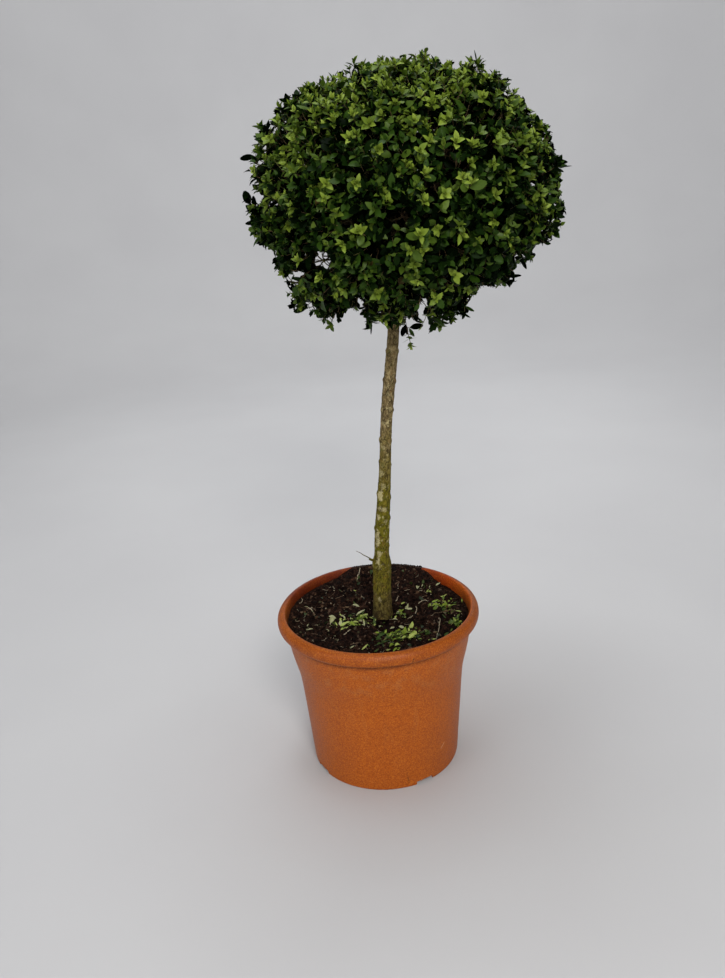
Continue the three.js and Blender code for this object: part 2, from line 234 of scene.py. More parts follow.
# ---------------------------------------------------------------- materials
class Surface:
    """A node material on one Principled shader."""

    def __init__(self, name, base=None, rough=0.5, specular=0.5):
        self.m = bpy.data.materials.new(name)
        self.m.use_nodes = True
        self.t = self.m.node_tree
        self.b = next(n for n in self.t.nodes if n.type == "BSDF_PRINCIPLED")
        if base:
            self.b.inputs["Base Color"].default_value = base
            self.m.diffuse_color = base
        self.b.inputs["Roughness"].default_value = rough
        self.b.inputs["Specular IOR Level"].default_value = specular

    def node(self, kind, **props):
        n = self.t.nodes.new(kind)
        for k, v in props.items():
            setattr(n, k, v)
        return n

    def put(self, socket, value):
        if isinstance(value, bpy.types.NodeSocket):
            self.t.links.new(value, socket)
        else:
            socket.default_value = value

    def coords(self, scale=(1, 1, 1)):
        c = self.node("ShaderNodeTexCoord")
        m = self.node("ShaderNodeMapping")
        m.inputs["Scale"].default_value = scale
        self.t.links.new(c.outputs["Object"], m.inputs["Vector"])
        return m.outputs[0]

    def noise(self, vec, scale, detail=3.0, rough=0.55, distort=0.0):
        n = self.node("ShaderNodeTexNoise")
        self.put(n.inputs["Vector"], vec)
        n.inputs["Scale"].default_value = scale
        n.inputs["Detail"].default_value = detail
        n.inputs["Roughness"].default_value = rough
        n.inputs["Distortion"].default_value = distort
        return n.outputs[0]

    def cells(self, vec, scale, feature="F1"):
        n = self.node("ShaderNodeTexVoronoi", feature=feature)
        self.put(n.inputs["Vector"], vec)
        n.inputs["Scale"].default_value = scale
        return n.outputs["Distance"]

    def span(self, value, a, b, c=0.0, d=1.0, kind="SMOOTHSTEP"):
        n = self.node("ShaderNodeMapRange", interpolation_type=kind)
        self.put(n.inputs["Value"], value)
        for key, x in (("From Min", a), ("From Max", b), ("To Min", c), ("To Max", d)):
            n.inputs[key].default_value = x
        return n.outputs[0]

    def maths(self, op, a, b=0.0, clamp=False):
        n = self.node("ShaderNodeMath", operation=op, use_clamp=clamp)
        self.put(n.inputs[0], a)
        self.put(n.inputs[1], b)
        return n.outputs[0]

    def mix(self, fac, a, b, blend="MIX"):
        n = self.node("ShaderNodeMix", data_type="RGBA", blend_type=blend)
        self.put(n.inputs[0], fac)
        self.put(n.inputs[6], a)
        self.put(n.inputs[7], b)
        return n.outputs[2]

    def ramp(self, fac, stops):
        n = self.node("ShaderNodeValToRGB")
        e = n.color_ramp.elements
        while len(e) < len(stops):
            e.new(0.5)
        for i, (pos, col) in enumerate(stops):
            e[i].position = pos
            e[i].color = col
        self.put(n.inputs[0], fac)
        return n.outputs[0]

    def field(self, name):
        return self.node("ShaderNodeAttribute", attribute_name=name).outputs["Fac"]

    def xyz(self, vec):
        n = self.node("ShaderNodeSeparateXYZ")
        self.put(n.inputs[0], vec)
        return n.outputs

    def near_segment(self, vec, a, b, inner, outer):
        """1 along the segment a-b (millimetres), fading to 0 between inner and outer."""
        a, b = Vector(a) * MM, Vector(b) * MM
        ab = b - a
        sub = self.node("ShaderNodeVectorMath", operation="SUBTRACT")
        self.put(sub.inputs[0], vec)
        sub.inputs[1].default_value = a
        dot = self.node("ShaderNodeVectorMath", operation="DOT_PRODUCT")
        self.put(dot.inputs[0], sub.outputs[0])
        dot.inputs[1].default_value = ab / ab.length_squared
        t = self.maths("MINIMUM", self.maths("MAXIMUM", dot.outputs["Value"], 0.0), 1.0)
        sc = self.node("ShaderNodeVectorMath", operation="SCALE")
        sc.inputs[0].default_value = ab
        self.put(sc.inputs["Scale"], t)
        d = self.node("ShaderNodeVectorMath", operation="DISTANCE")
        self.put(d.inputs[0], sub.outputs[0])
        self.put(d.inputs[1], sc.outputs[0])
        return self.span(d.outputs["Value"], inner * MM, outer * MM, 1.0, 0.0)

    def bump(self, height, distance, strength=1.0):
        n = self.node("ShaderNodeBump")
        n.inputs["Strength"].default_value = strength
        n.inputs["Distance"].default_value = distance
        self.put(n.inputs["Height"], height)
        self.put(self.b.inputs["Normal"], n.outputs[0])

    def colour(self, value):
        self.put(self.b.inputs["Base Color"], value)

    def roughness(self, value):
        self.put(self.b.inputs["Roughness"], value)


# ---------------------------------------------------------------------- pot
POT_TOP = 228.6
RIM_FOOT = 210.6
INNER_WALL = [(97.9, 3.2), (100.3, 5.8), (109.7, 146), (116.1, 159), (124.1, 206), (125.1, 220), (126.3, 224.4)]
NOTCH_FIRST = math.radians(-61.5)      # from the front, towards +X
NOTCH = (26.0, 6.0, 17.0)              # width, height, depth


def filleted(points, radii, steps=4):
    """The polyline with its corners rounded over the given distances."""
    out = [points[0]]
    pts = [np.array(p, float) for p in points]
    for i in range(1, len(pts) - 1):
        a, b, c = pts[i - 1], pts[i], pts[i + 1]
        r = min(radii[i], 0.48 * np.linalg.norm(b - a), 0.48 * np.linalg.norm(c - b))
        if r < 0.05:
            out.append(tuple(b))
            continue
        p = b + (a - b) / np.linalg.norm(a - b) * r
        q = b + (c - b) / np.linalg.norm(c - b) * r
        for k in range(steps + 1):
            t = k / steps
            out.append(tuple((1 - t) ** 2 * p + 2 * t * (1 - t) * b + t * t * q))
    out.append(points[-1])
    return out


def make_pot():
    outer = [(0, 0), (92, 0), (93.5, 1.4), (99.2, 1.4), (100.5, 0), (102.4, 0.5), (103.1, 3), (109.9, 92), (112.3, 122),
             (114.1, 138), (116.2, 148.5), (118.7, 158.5), (121.2, 169), (123.6, 181), (127.75, 209.4), (128.3, 210.6), (134.8, 211.0),
             (137.5, 213.6), (138.2, 218.8), (137.1, 223.6), (133.9, 227.2), (130.0, 228.6), (127.9, 228.3),
             (126.75, 226.2), (126.3, 224.4), (125.1, 220), (124.1, 206), (116.1, 159), (109.7, 146), (101.0, 14),
             (98.5, 9.2), (0, 9.2)]
    radii = [0, 1, 1, 1, 1, 1.2, 2, 26, 14, 7, 5, 5, 5, 8, 0.5, 0.6, 2, 2.6, 4, 4, 3.4, 2, 1, 1, 1, 3, 6, 4, 4, 3, 3, 0]
    profile = filleted(outer, radii)
    full = [profile[0]]
    for a, b in zip(profile, profile[1:]):                 # long walls in short steps
        n = max(1, int(math.hypot(b[0] - a[0], b[1] - a[1]) // (9.0 if min(a[1], b[1]) > 9.3 else 24.0)))
        for k in range(1, n + 1):
            full.append((lerp(a[0], b[0], k / n), lerp(a[1], b[1], k / n)))
    fine = [full[0]]
    for a, b in zip(full, full[1:]):
        if 2.9 <= a[1] < 14 and 2.9 <= b[1] < 26 and b[0] > 100 and b[1] > a[1]:
            fine += [(lerp(a[0], b[0], k / 3), lerp(a[1], b[1], k / 3)) for k in (1, 2)]
        fine.append(b)
    full = fine
    r = np.array([p[0] for p in full[1:-1]])
    z = np.array([p[1] for p in full[1:-1]])
    seg = 208
    ang = np.arange(seg) * TAU / seg
    rr, aa = np.meshgrid(r, ang, indexing="ij")
    zz = np.repeat(z[:, None], seg, 1)
    base = np.stack([rr * np.sin(aa), -rr * np.cos(aa), zz], -1).reshape(-1, 3)
    # the slight waviness of thin moulded plastic
    wave = (fbm(base, 70, 2, 5) - 0.5) * 0.9 * smooth(base[:, 2], 6, 40).clip(0, 1)
    out = unit(base * np.array([1, 1, 0]))
    verts = base + out * wave[:, None]
    rim = smooth(base[:, 2], 211, 222)
    verts[:, 2] += rim * 0.35 * np.sin(2 * aa.ravel() + 0.6)
    verts = np.concatenate([verts, [[0, 0, full[0][1]], [0, 0, full[-1][1]]]])
    n = len(r)
    quads = grid(n, seg)
    c = np.arange(seg)
    low, high = n * seg, n * seg + 1
    tris = np.concatenate([np.stack([np.full(seg, low), (c + 1) % seg, c], -1),
                           np.stack([np.full(seg, high), (n - 1) * seg + c, (n - 1) * seg + (c + 1) % seg], -1)])
    pot = mesh_object("pot_shell", verts, quads, tris)

    # drainage notches in the foot, and the nick in the rim
    cutters = []
    w, h, d = NOTCH
    for k in range(4):
        a = NOTCH_FIRST + k * TAU / 4
        corner = 1.6
        outline = [(-w / 2, -3), (-w / 2, h - corner), (-w / 2 + 0.5, h - 0.5), (-w / 2 + corner, h),
                   (w / 2 - corner, h), (w / 2 - 0.5, h - 0.5), (w / 2, h - corner), (w / 2, -3)]
        vs = []
        for rad in (103.1 - d, 112):
            for x, zc in outline:
                vs.append((x * math.cos(a) + rad * math.sin(a), x * math.sin(a) - rad * math.cos(a), zc))
        m = len(outline)
        q = [(i, (i + 1) % m, m + (i + 1) % m, m + i) for i in range(m)]
        me = bpy.data.meshes.new("cut")
        me.from_pydata([tuple(np.array(v) * MM) for v in vs], [], [tuple(range(m))[::-1], tuple(range(m, 2 * m))] + q)
        cutters.append(me)
    nick = np.array([38.4, -132.9, 216.0])
    ring = []
    for k in range(3):
        for j in range(9):
            b = TAU * j / 9
            s = (0.35, 1.0, 0.3)[k] * (1 + 0.22 * math.sin(3 * b + 1))
            ring.append(nick + np.array([2.5 * s * math.cos(b), 0.7 * (k - 1) + 0.9 * s * math.sin(b) * 0.3, 2.1 * s * math.sin(b)]))
    me = bpy.data.meshes.new("cut")
    me.from_pydata([tuple(v * MM) for v in ring], [],
                   [tuple(range(9)), tuple(range(18, 27))[::-1]]
                   + [(i, 9 + i, 9 + (i + 1) % 9, (i + 1) % 9) for i in range(9)]
                   + [(9 + i, 18 + i, 18 + (i + 1) % 9, 9 + (i + 1) % 9) for i in range(9)])
    cutters.append(me)
    made = []
    import bmesh
    for i, me in enumerate(cutters):
        bm = bmesh.new()
        bm.from_mesh(me)
        bmesh.ops.recalc_face_normals(bm, faces=bm.faces)
        bm.to_mesh(me)
        bm.free()
        c = bpy.data.objects.new(f"cut{i}", me)
        scene.collection.objects.link(c)
        made.append(c)
        mod = pot.modifiers.new(f"cut{i}", "BOOLEAN")
        mod.operation = "DIFFERENCE"
        mod.solver = "EXACT"
        mod.object = c
    bm = bmesh.new()
    bm.from_mesh(pot.data)
    bmesh.ops.recalc_face_normals(bm, faces=bm.faces)
    bm.to_mesh(pot.data)
    bm.free()
    smooth_at = [q.co.copy() for q in pot.data.vertices]
    smooth_n = [q.vector.copy() for q in pot.data.vertex_normals]
    bpy.context.view_layer.update()
    done = bpy.data.meshes.new_from_object(pot.evaluated_get(bpy.context.evaluated_depsgraph_get()))
    pot.modifiers.clear()
    pot.data = done
    for c in made:
        bpy.data.objects.remove(c)
    done.polygons.foreach_set("use_smooth", np.ones(len(done.polygons), bool))
    # the wall keeps its even curve beside the cuts
    near = KDTree(len(smooth_at))
    for i, q in enumerate(smooth_at):
        near.insert(q, i)
    near.balance()
    normals = []
    for poly in done.polygons:
        for vi in poly.vertices:
            _, i, far = near.find(done.vertices[vi].co)
            n0 = smooth_n[i]
            normals.append(tuple(n0) if far < 6 * MM and poly.normal.dot(n0) > 0.86 else tuple(poly.normal))
    done.normals_split_custom_set(normals)
    return pot


NICK_LINE = ((37.3, -133.2, 213.2), (39.9, -132.6, 219.0))


def pot_material():
    s = Surface("terracotta_plastic", rough=0.44, specular=0.28)
    v = s.coords()
    x, y, z = s.xyz(v)
    fine = s.noise(v, 420, 4, 0.65)
    grain = s.noise(v, 1500, 2, 0.5)
    broad = s.noise(v, 17, 3, 0.5)
    col = s.ramp(fine, [(0.30, srgb(162, 76, 9)), (0.50, srgb(188, 91, 13)), (0.72, srgb(204, 107, 24))])
    col = s.mix(s.span(broad, 0.35, 0.7, 0.0, 0.35), col, srgb(170, 82, 22))
    # dust, thicker round the collar and in faint runs down the wall
    runs = s.noise(s.coords((1, 1, 0.13)), 95, 4, 0.6)
    dust = s.maths("MULTIPLY", s.span(runs, 0.50, 0.78), s.span(z, 0.03, 0.2, 0.10, 0.26))
    col = s.mix(dust, col, srgb(190, 126, 78))
    film = s.maths("MULTIPLY", s.span(s.noise(v, 75, 4, 0.6), 0.44, 0.66), s.maths("MULTIPLY", s.span(z, 0.150, 0.170), s.span(z, 0.206, 0.198)))
    col = s.mix(s.maths("MULTIPLY", film, 0.30), col, srgb(190, 124, 84))
    # splashes of compost on the wall, thicker near the foot
    spots = s.span(s.cells(v, 210), 0.055, 0.11, 1.0, 0.0)
    some = s.span(s.noise(v, 60, 2, 0.5), 0.52, 0.6)
    splash = s.maths("MULTIPLY", s.maths("MULTIPLY", spots, some), s.span(z, 0.21, 0.0, 0.35, 0.9))
    col = s.mix(splash, col, srgb(74, 42, 22))
    # painted shade in the crease under the rim
    crease_shade = s.maths("MULTIPLY", s.span(z, 0.199, 0.2085), s.span(z, 0.2135, 0.2105))
    crease_shade = s.maths("MULTIPLY", crease_shade, s.span(broad, 0.25, 0.65, 0.55, 1.0))
    col = s.mix(crease_shade, col, srgb(88, 34, 8))
        # soil and painted shade on the inside of the lip
    inside = s.maths("MULTIPLY", s.span(s.maths("SQRT", s.maths("ADD", s.maths("MULTIPLY", x, x), s.maths("MULTIPLY", y, y))),
                                        0.1285, 0.1262), s.maths("MULTIPLY", s.span(z, 0.2275, 0.217), s.span(z, 0.2105, 0.2115)))
    col = s.mix(s.maths("MULTIPLY", inside, 0.75), col, srgb(128, 46, 10))
    # darker at the back and on the left: soil, with painted shade
    soil_and_shade = s.span(s.maths("ADD", y, s.maths("MULTIPLY", s.noise(v, 70, 3, 0.6), 0.06)), 0.095, 0.060, 0.0, 1.0)
    soil_and_shade = s.maths("MAXIMUM", soil_and_shade, s.maths("MULTIPLY", s.span(x, 0.0, -0.06, 0.0, 0.75), s.span(y, 0.03, 0.08)))
    soil_and_shade = s.maths("MULTIPLY", inside, s.maths("MAXIMUM", s.maths("MULTIPLY", soil_and_shade, 0.92), s.span(s.noise(v, 130, 4, 0.6), 0.48, 0.66, 0.0, 0.8)))
    col = s.mix(soil_and_shade, col, srgb(34, 18, 12))
    # the rim is grimier than the wall, and worn pale along its top
    grime = s.maths("MULTIPLY", s.span(z, 0.2105, 0.213), s.span(s.noise(v, 55, 4, 0.6), 0.35, 0.65, 0.35, 0.75))
    col = s.mix(grime, col, srgb(150, 70, 10))
    worn = s.maths("MULTIPLY", s.span(z, 0.2255, 0.2285), s.span(s.noise(v, 160, 4, 0.65), 0.45, 0.72))
    col = s.mix(s.maths("MULTIPLY", worn, 0.28), col, srgb(200, 118, 50))
    # scuffs
    rough_line = s.noise(v, 700, 3, 0.6)
    scuff = s.near_segment(v, (21, -101.9, 41.9), (26.4, -99.6, 8.8), 0.5, 1.9)
    scuff = s.maths("MULTIPLY", scuff, s.span(rough_line, 0.38, 0.55))
    col = s.mix(s.maths("MULTIPLY", scuff, 0.75), col, srgb(86, 44, 20))
    nick = s.near_segment(v, NICK_LINE[0], NICK_LINE[1], 0.5, 1.3)
    col = s.mix(s.maths("MULTIPLY", nick, 0.9), col, srgb(58, 24, 8))
    light = s.near_segment(v, (78.2, -71.6, 49.1), (73.4, -76.5, 43.3), 0.4, 1.3)
    col = s.mix(s.maths("MULTIPLY", light, 0.7), col, srgb(222, 176, 146))
    for a, b in (((-62, -92.5, 96), (-49, -99, 91)), ((96, -50, 120), (92, -56, 103)), ((-30, -107, 62), (-27, -107, 49))):
        m = s.maths("MULTIPLY", s.near_segment(v, a, b, 0.2, 0.8), s.span(rough_line, 0.4, 0.56))
        col = s.mix(s.maths("MULTIPLY", m, 0.4), col, srgb(206, 142, 104))
    speck = s.noise(v, 560, 3, 0.7)
    col = s.mix(s.span(speck, 0.51, 0.63, 0.0, 0.48), col, srgb(222, 130, 42))
    col = s.mix(s.span(speck, 0.49, 0.37, 0.0, 0.52), col, srgb(128, 50, 6))
    # painted shade on the back of the lip and the wall inside it, redder and darkest on the left
    lip = s.maths("MAXIMUM", s.span(z, 0.2262, 0.2276),
                  s.span(s.maths("SQRT", s.maths("ADD", s.maths("MULTIPLY", x, x), s.maths("MULTIPLY", y, y))), 0.1302, 0.1287))
    lip = s.maths("MULTIPLY", lip, s.maths("MULTIPLY", s.span(z, 0.2114, 0.2122), s.span(s.maths("SUBTRACT", y, s.maths("MULTIPLY", x, 0.15)), 0.024, 0.072)))
    lip_shade = s.mix(s.span(x, 0.02, -0.05), (0.92, 0.56, 0.60, 1), (0.46, 0.25, 0.33, 1))
    col = s.mix(s.maths("MULTIPLY", lip, s.span(s.noise(v, 95, 3, 0.6), 0.32, 0.60, 0.72, 1.0)), col, lip_shade, "MULTIPLY")
    # and painted light brightens the wall inside it on the right
    lit_right_wall = s.span(s.maths("SQRT", s.maths("ADD", s.maths("MULTIPLY", x, x), s.maths("MULTIPLY", y, y))), 0.1302, 0.1287)
    lit_right_wall = s.maths("MULTIPLY", s.maths("MULTIPLY", lit_right_wall, s.span(z, 0.2114, 0.2122)),
                    s.maths("MULTIPLY", s.span(x, 0.060, 0.090), s.span(y, 0.088, 0.068)))
    col = s.mix(lit_right_wall, col, (1.55, 1.40, 1.80, 1), "MULTIPLY")
    # compost lies over the lip behind the stem
    ends = s.maths("ADD", x, s.maths("MULTIPLY", s.maths("SUBTRACT", s.noise(v, 120, 3, 0.6), 0.5), 0.024))
    over = s.maths("MULTIPLY", s.span(ends, -0.037, -0.031), s.span(ends, 0.0745, 0.0690))
    over = s.maths("MULTIPLY", s.maths("MULTIPLY", over, s.span(z, 0.2225, 0.2245)), s.span(y, 0.085, 0.100))
    col = s.mix(s.maths("MULTIPLY", over, 0.95), col, s.ramp(s.noise(v, 620, 4, 0.7), [(0.4, srgb(14, 9, 7)), (0.62, srgb(52, 34, 26))]))
    col = s.mix(1.0, col, (0.80, 0.80, 0.58, 1), "MULTIPLY")
    s.colour(col)
    s.roughness(s.maths("ADD", s.span(fine, 0.3, 0.7, 0.42, 0.56), s.maths("MULTIPLY", dust, 0.18)))
    s.bump(s.maths("ADD", s.maths("MULTIPLY", grain, 0.6), fine), 0.00022, 0.6)
    return s.m


pot = make_pot()
pot.data.materials.clear()
pot.data.materials.append(pot_material())
piece(pot, "pot_plastic", "pot")


# ------------------------------------------------------------------ compost
LEVEL = 212.0


def ripple(x, y, z, wavelength, seed):
    k = TAU / wavelength
    s = 0
    for i in range(5):
        a = seed * 1.7 + i * 2.399
        b = math.sin(seed * 3.1 + i * 1.9)
        s = s + np.sin(k * (1 + 0.23 * i) * (x * math.cos(a) + y * math.sin(a) + z * b) + seed + i * 1.3)
    return s / 5


def bed_level(x, y):
    x, y = np.asarray(x, float), np.asarray(y, float)
    r = np.hypot(x, y)
    mound = 11 * np.exp(-((x - 28) ** 2 + (y - 112) ** 2) / (2 * 42**2))
    back = 5 * smooth(-x * 0.5 + y * 0.87, 30, 110)
    return LEVEL + mound + back + 1.1 * smooth(r, 20, 90) * ripple(x, y, 0, 46, 2.2) - 1.2 * smooth(-y, 50, 115)


def crumbly(x, y):
    """The bed's surface with its crumbs."""
    x, y = np.asarray(x, float), np.asarray(y, float)
    p = np.stack([x, y, np.zeros_like(x)], -1).reshape(-1, 3)
    lump = (fbm(p, 17, 3, 11) - 0.5) * 7.0
    crumb = np.abs(fbm(p, 6.5, 3, 23, 0.6) - 0.5) * 9.0
    fine = (fbm(p, 2.6, 2, 37, 0.6) - 0.5) * 2.6
    rise = (lump - crumb + fine + 0.9).reshape(x.shape)
    r = np.hypot(x - 6.6, y - 3)
    edge = smooth(np.hypot(x, y), 124.0, 116.0)
    rr, turn = np.hypot(x, y), np.degrees(np.arctan2(x, y))
    heap = np.exp(-((turn - 9) / 33) ** 6) * smooth(rr, 88, 122)
    bed = lerp(bed_level(x, y), 229.4 + 2.8 * (fbm(p, 15, 2, 29).reshape(x.shape) - 0.4), heap)
    return bed + rise * smooth(r, 11, 20) * (0.35 + 0.65 * edge) - 0.6 - 2.6 * smooth(r, 36, 14)


def wall_at(z):
    return np.interp(z, [q[1] for q in INNER_WALL], [q[0] for q in INNER_WALL])


def make_bed():
    rings, seg = 118, 300
    f = np.linspace(0.0, 1.0, rings)
    f = 0.055 + 0.945 * f ** 0.92
    ang = np.arange(seg) * TAU / seg
    top_r = np.full(seg, 124.6)
    for _ in range(3):
        zz = crumbly(top_r * np.cos(ang), top_r * np.sin(ang))
        top_r = wall_at(zz) - 0.25
    x = f[:, None] * top_r * np.cos(ang) + 6.6 * (1 - f[:, None]) ** 2
    y = f[:, None] * top_r * np.sin(ang) + 3.0 * (1 - f[:, None]) ** 2
    z = crumbly(x, y)
    # crumbs lean over, so the surface isn't a plain height field
    p = np.stack([x, y, z], -1)
    q = p.reshape(-1, 3)
    push = np.stack([fbm(q, 4.2, 2, 51) - 0.5, fbm(q, 4.2, 2, 61) - 0.5, np.zeros(len(q))], -1).reshape(p.shape)
    p = p + push * 3.4 * smooth(f, 1.0, 0.97)[:, None, None] * smooth(f, 0.06, 0.12)[:, None, None]
    deep = (z - bed_level(x, y))
    skirt = []
    for level in (200.0, 150.0, 12.0):
        r = wall_at(level) - 0.4
        skirt.append(np.stack([r * np.cos(ang), r * np.sin(ang), np.full(seg, level)], -1))
    verts = np.concatenate([p.reshape(-1, 3)] + skirt + [np.array([[6.6, 3.0, LEVEL - 1], [0, 0, 12.0]])])
    n = rings + 3
    quads = grid(n, seg)
    c = np.arange(seg)
    quads = quads[:, ::-1]
    tris = np.concatenate([np.stack([np.full(seg, n * seg), c, (c + 1) % seg], -1),
                           np.stack([np.full(seg, n * seg + 1), (n - 1) * seg + (c + 1) % seg, (n - 1) * seg + c], -1)])
    # painted shade: the bed is darkened in its hollows, carried to the material as the 'hollow' field
    shade = np.concatenate([smooth(deep.ravel(), 0.8, -4.2), np.ones(3 * seg + 2)])
    return mesh_object("compost_bed", verts, quads, tris, [compost_material()], fields={"hollow": shade})


def compost_material():
    s = Surface("potting_compost", rough=1.0, specular=0.01)
    v = s.coords()
    a = s.noise(v, 190, 5, 0.65)
    b = s.noise(v, 620, 4, 0.7)
    c = s.noise(v, 34, 2, 0.5)
    col = s.ramp(s.maths("ADD", s.maths("MULTIPLY", a, 0.55), s.maths("MULTIPLY", b, 0.45)),
                 [(0.36, srgb(3, 2, 2)), (0.47, srgb(24, 16, 13)), (0.58, srgb(66, 45, 35)), (0.74, srgb(116, 86, 66))])
    col = s.mix(s.span(c, 0.4, 0.66, 0.0, 0.45), col, srgb(24, 16, 17))
    # painted shade in the hollows between crumbs
    col = s.mix(s.maths("MULTIPLY", s.field("hollow"), 0.85), col, srgb(4, 3, 3))
    s.colour(col)
    s.bump(s.maths("ADD", b, s.noise(v, 1700, 2, 0.6)), 0.0006, 0.9)
    return s.m


piece(make_bed(), "compost", "compost")


def on_bed(x, y):
    return crumbly(x, y)


def scatter_on_bed(n, r0=17, r1=119):
    r = np.sqrt(rng.uniform(r0**2, r1**2, n))
    a = rng.uniform(0, TAU, n)
    x, y = r * np.cos(a), r * np.sin(a)
    return x, y, on_bed(x, y)


def turn_frames(n, lay=0.35):
    """n random frames whose third axis is near upright (lay 0) or any way (1)."""
    up = unit(np.stack([rng.normal(0, lay, n), rng.normal(0, lay, n), np.ones(n)], -1))
    a = rng.uniform(0, TAU, n)
    x = np.stack([np.cos(a), np.sin(a), np.zeros(n)], -1)
    x = unit(x - up * dots(x, up))
    return x, np.cross(up, x), up


def make_clods():
    """Crumbs of peat and bark that lie in and on the bed."""
    ico = bpy.data.meshes.new("ico")
    import bmesh
    bm = bmesh.new()
    bmesh.ops.create_icosphere(bm, subdivisions=1, radius=1.0)
    bm.to_mesh(ico)
    bm.free()
    ball = np.array([v.co for v in ico.vertices])
    faces = np.array([p.vertices[:] for p in ico.polygons])
    n = 1500
    x, y, z = scatter_on_bed(n)
    size = np.exp(rng.normal(0.35, 0.42, n)).clip(0.7, 3.6)
    ax, ay, az = turn_frames(n, 0.5)
    squash = rng.uniform(0.45, 0.9, (n, 1))
    long = rng.uniform(0.75, 1.5, (n, 1))
    v = ball[None] * (1 + 0.22 * rng.normal(0, 1, (n, len(ball), 1)).clip(-1.6, 1.6))
    v = (v[..., 0:1] * ax[:, None] * long[:, None] + v[..., 1:2] * ay[:, None] + v[..., 2:3] * az[:, None] * squash[:, None])
    v = v * size[:, None, None] + np.stack([x, y, z + size * 0.12], -1)[:, None]
    kind = rng.choice(4, n, p=[0.62, 0.30, 0.06, 0.02])
    # the heap at the back spills onto the lip
    own = np.random.default_rng(41)
    m = 260
    turn, rad = np.radians(own.uniform(-16, 33, m)), own.uniform(126.6, 132.0, m)
    big = np.exp(own.normal(-0.15, 0.30, m)).clip(0.5, 1.4)
    turn[:3], rad[:3], big[:3] = np.radians([30.6, 29.2, 32.0]), (132.6, 131.4, 131.8), (2.1, 1.7, 1.5)
    lip_z = np.interp(rad, [126.3, 126.75, 127.9, 130.0, 133.9, 137.1], [224.4, 226.2, 228.3, 228.6, 227.2, 223.6])
    w = ball[None] * (1 + 0.22 * own.normal(0, 1, (m, len(ball), 1)).clip(-1.6, 1.6)) * own.uniform(0.7, 1.3, (m, 1, 3))
    w = w * big[:, None, None] + np.stack([rad * np.sin(turn), rad * np.cos(turn), lip_z - 0.35 * big * (np.arange(m) > 2)], -1)[:, None]
    v = np.concatenate([v, w])
    kind = np.concatenate([kind, own.choice(2, m, p=[0.7, 0.3])])
    n += m
    tris = faces[None] + (np.arange(n) * len(ball))[:, None, None]
    mats = []
    for k, (a, b) in enumerate(((srgb(10, 7, 6), srgb(30, 21, 17)), (srgb(24, 16, 13), srgb(50, 35, 27)),
                                (srgb(66, 46, 34), srgb(98, 74, 54)), (srgb(52, 50, 36), srgb(84, 80, 56)))):
        s = Surface(f"crumb_{k + 1}", rough=1.0, specular=0.08)
        w = s.coords()
        s.colour(s.ramp(s.noise(w, 800, 3, 0.6), [(0.35, a), (0.65, b)]))
        s.bump(s.noise(w, 1800, 2, 0.6), 0.0003, 0.8)
        mats.append(s.m)
    return mesh_object("compost_crumbs", v.reshape(-1, 3), tris=tris.reshape(-1, 3), mats=mats,
                       tmat=np.repeat(kind, len(faces)), flat=True), mats


crumbs, crumb_mats = make_clods()
piece(crumbs, "compost")


def make_chips():
    """Flat bits of bark and pale specks on the bed."""
    n = 230
    x, y, z = scatter_on_bed(n)
    ax, ay, az = turn_frames(n, 0.28)
    length = rng.uniform(1.2, 3.8, n)
    speck = rng.random(n) < 0.34
    length[speck] = rng.uniform(0.4, 1.1, speck.sum())
    width = length * rng.uniform(0.4, 0.8, n)
    thick = np.where(speck, length * 0.5, rng.uniform(0.35, 0.9, n))
    sides = 6
    ang = np.arange(sides) * TAU / sides
    wob = 1 + 0.25 * rng.normal(0, 1, (n, sides)).clip(-1.5, 1.5)
    px = np.cos(ang) * wob * length[:, None]
    py = np.sin(ang) * wob * width[:, None]
    flat = px[..., None] * ax[:, None] + py[..., None] * ay[:, None]
    at = np.stack([x, y, z + 0.5 + thick * 0.3], -1)[:, None]
    top = flat * 0.9 + at + az[:, None] * thick[:, None, None] * 0.5
    low = flat + at - az[:, None] * thick[:, None, None] * 0.5
    v = np.concatenate([top, low], 1)
    c = np.arange(sides)
    side = np.stack([c, c + sides, (c + 1) % sides + sides, (c + 1) % sides], -1)
    caps = np.array([[0, 1, 2, 3], [0, 3, 4, 5], [9, 8, 7, 6], [11, 10, 9, 6]])
    one = np.concatenate([side, caps])
    quads = one[None] + (np.arange(n) * 2 * sides)[:, None, None]
    pale = Surface("pale_bits", rough=0.8, specular=0.3)
    w = pale.coords()
    pale.colour(pale.ramp(pale.noise(w, 500, 3, 0.6), [(0.35, srgb(150, 128, 98)), (0.65, srgb(206, 192, 166))]))
    tan = Surface("bark_bits", rough=0.85, specular=0.3)
    w = tan.coords((1, 1, 1))
    tan.colour(tan.ramp(tan.noise(w, 420, 4, 0.6), [(0.35, srgb(48, 33, 24)), (0.65, srgb(92, 68, 48))]))
    kind = np.where(speck, 0, np.where(rng.random(n) < 0.55, 1, 2))
    return mesh_object("bark_chips", v.reshape(-1, 3), quads.reshape(-1, 4), mats=[pale.m, tan.m, crumb_mats[1]],
                       qmat=np.repeat(kind, len(one)), flat=True)


piece(make_chips(), "compost")


def laid_path(points, n, wob=1.0):
    """A run of n points along points laid on the bed."""
    pts = np.array(points, float)
    d = np.concatenate([[0], np.cumsum(np.linalg.norm(np.diff(pts[:, :2], axis=0), axis=1))])
    t = np.linspace(0, d[-1], n)
    x, y = np.interp(t, d, pts[:, 0]), np.interp(t, d, pts[:, 1])
    x = np.convolve(np.pad(x, 2, "edge"), np.ones(5) / 5, "valid") + rng.normal(0, 0.25 * wob, n)
    y = np.convolve(np.pad(y, 2, "edge"), np.ones(5) / 5, "valid") + rng.normal(0, 0.25 * wob, n)
    return x, y


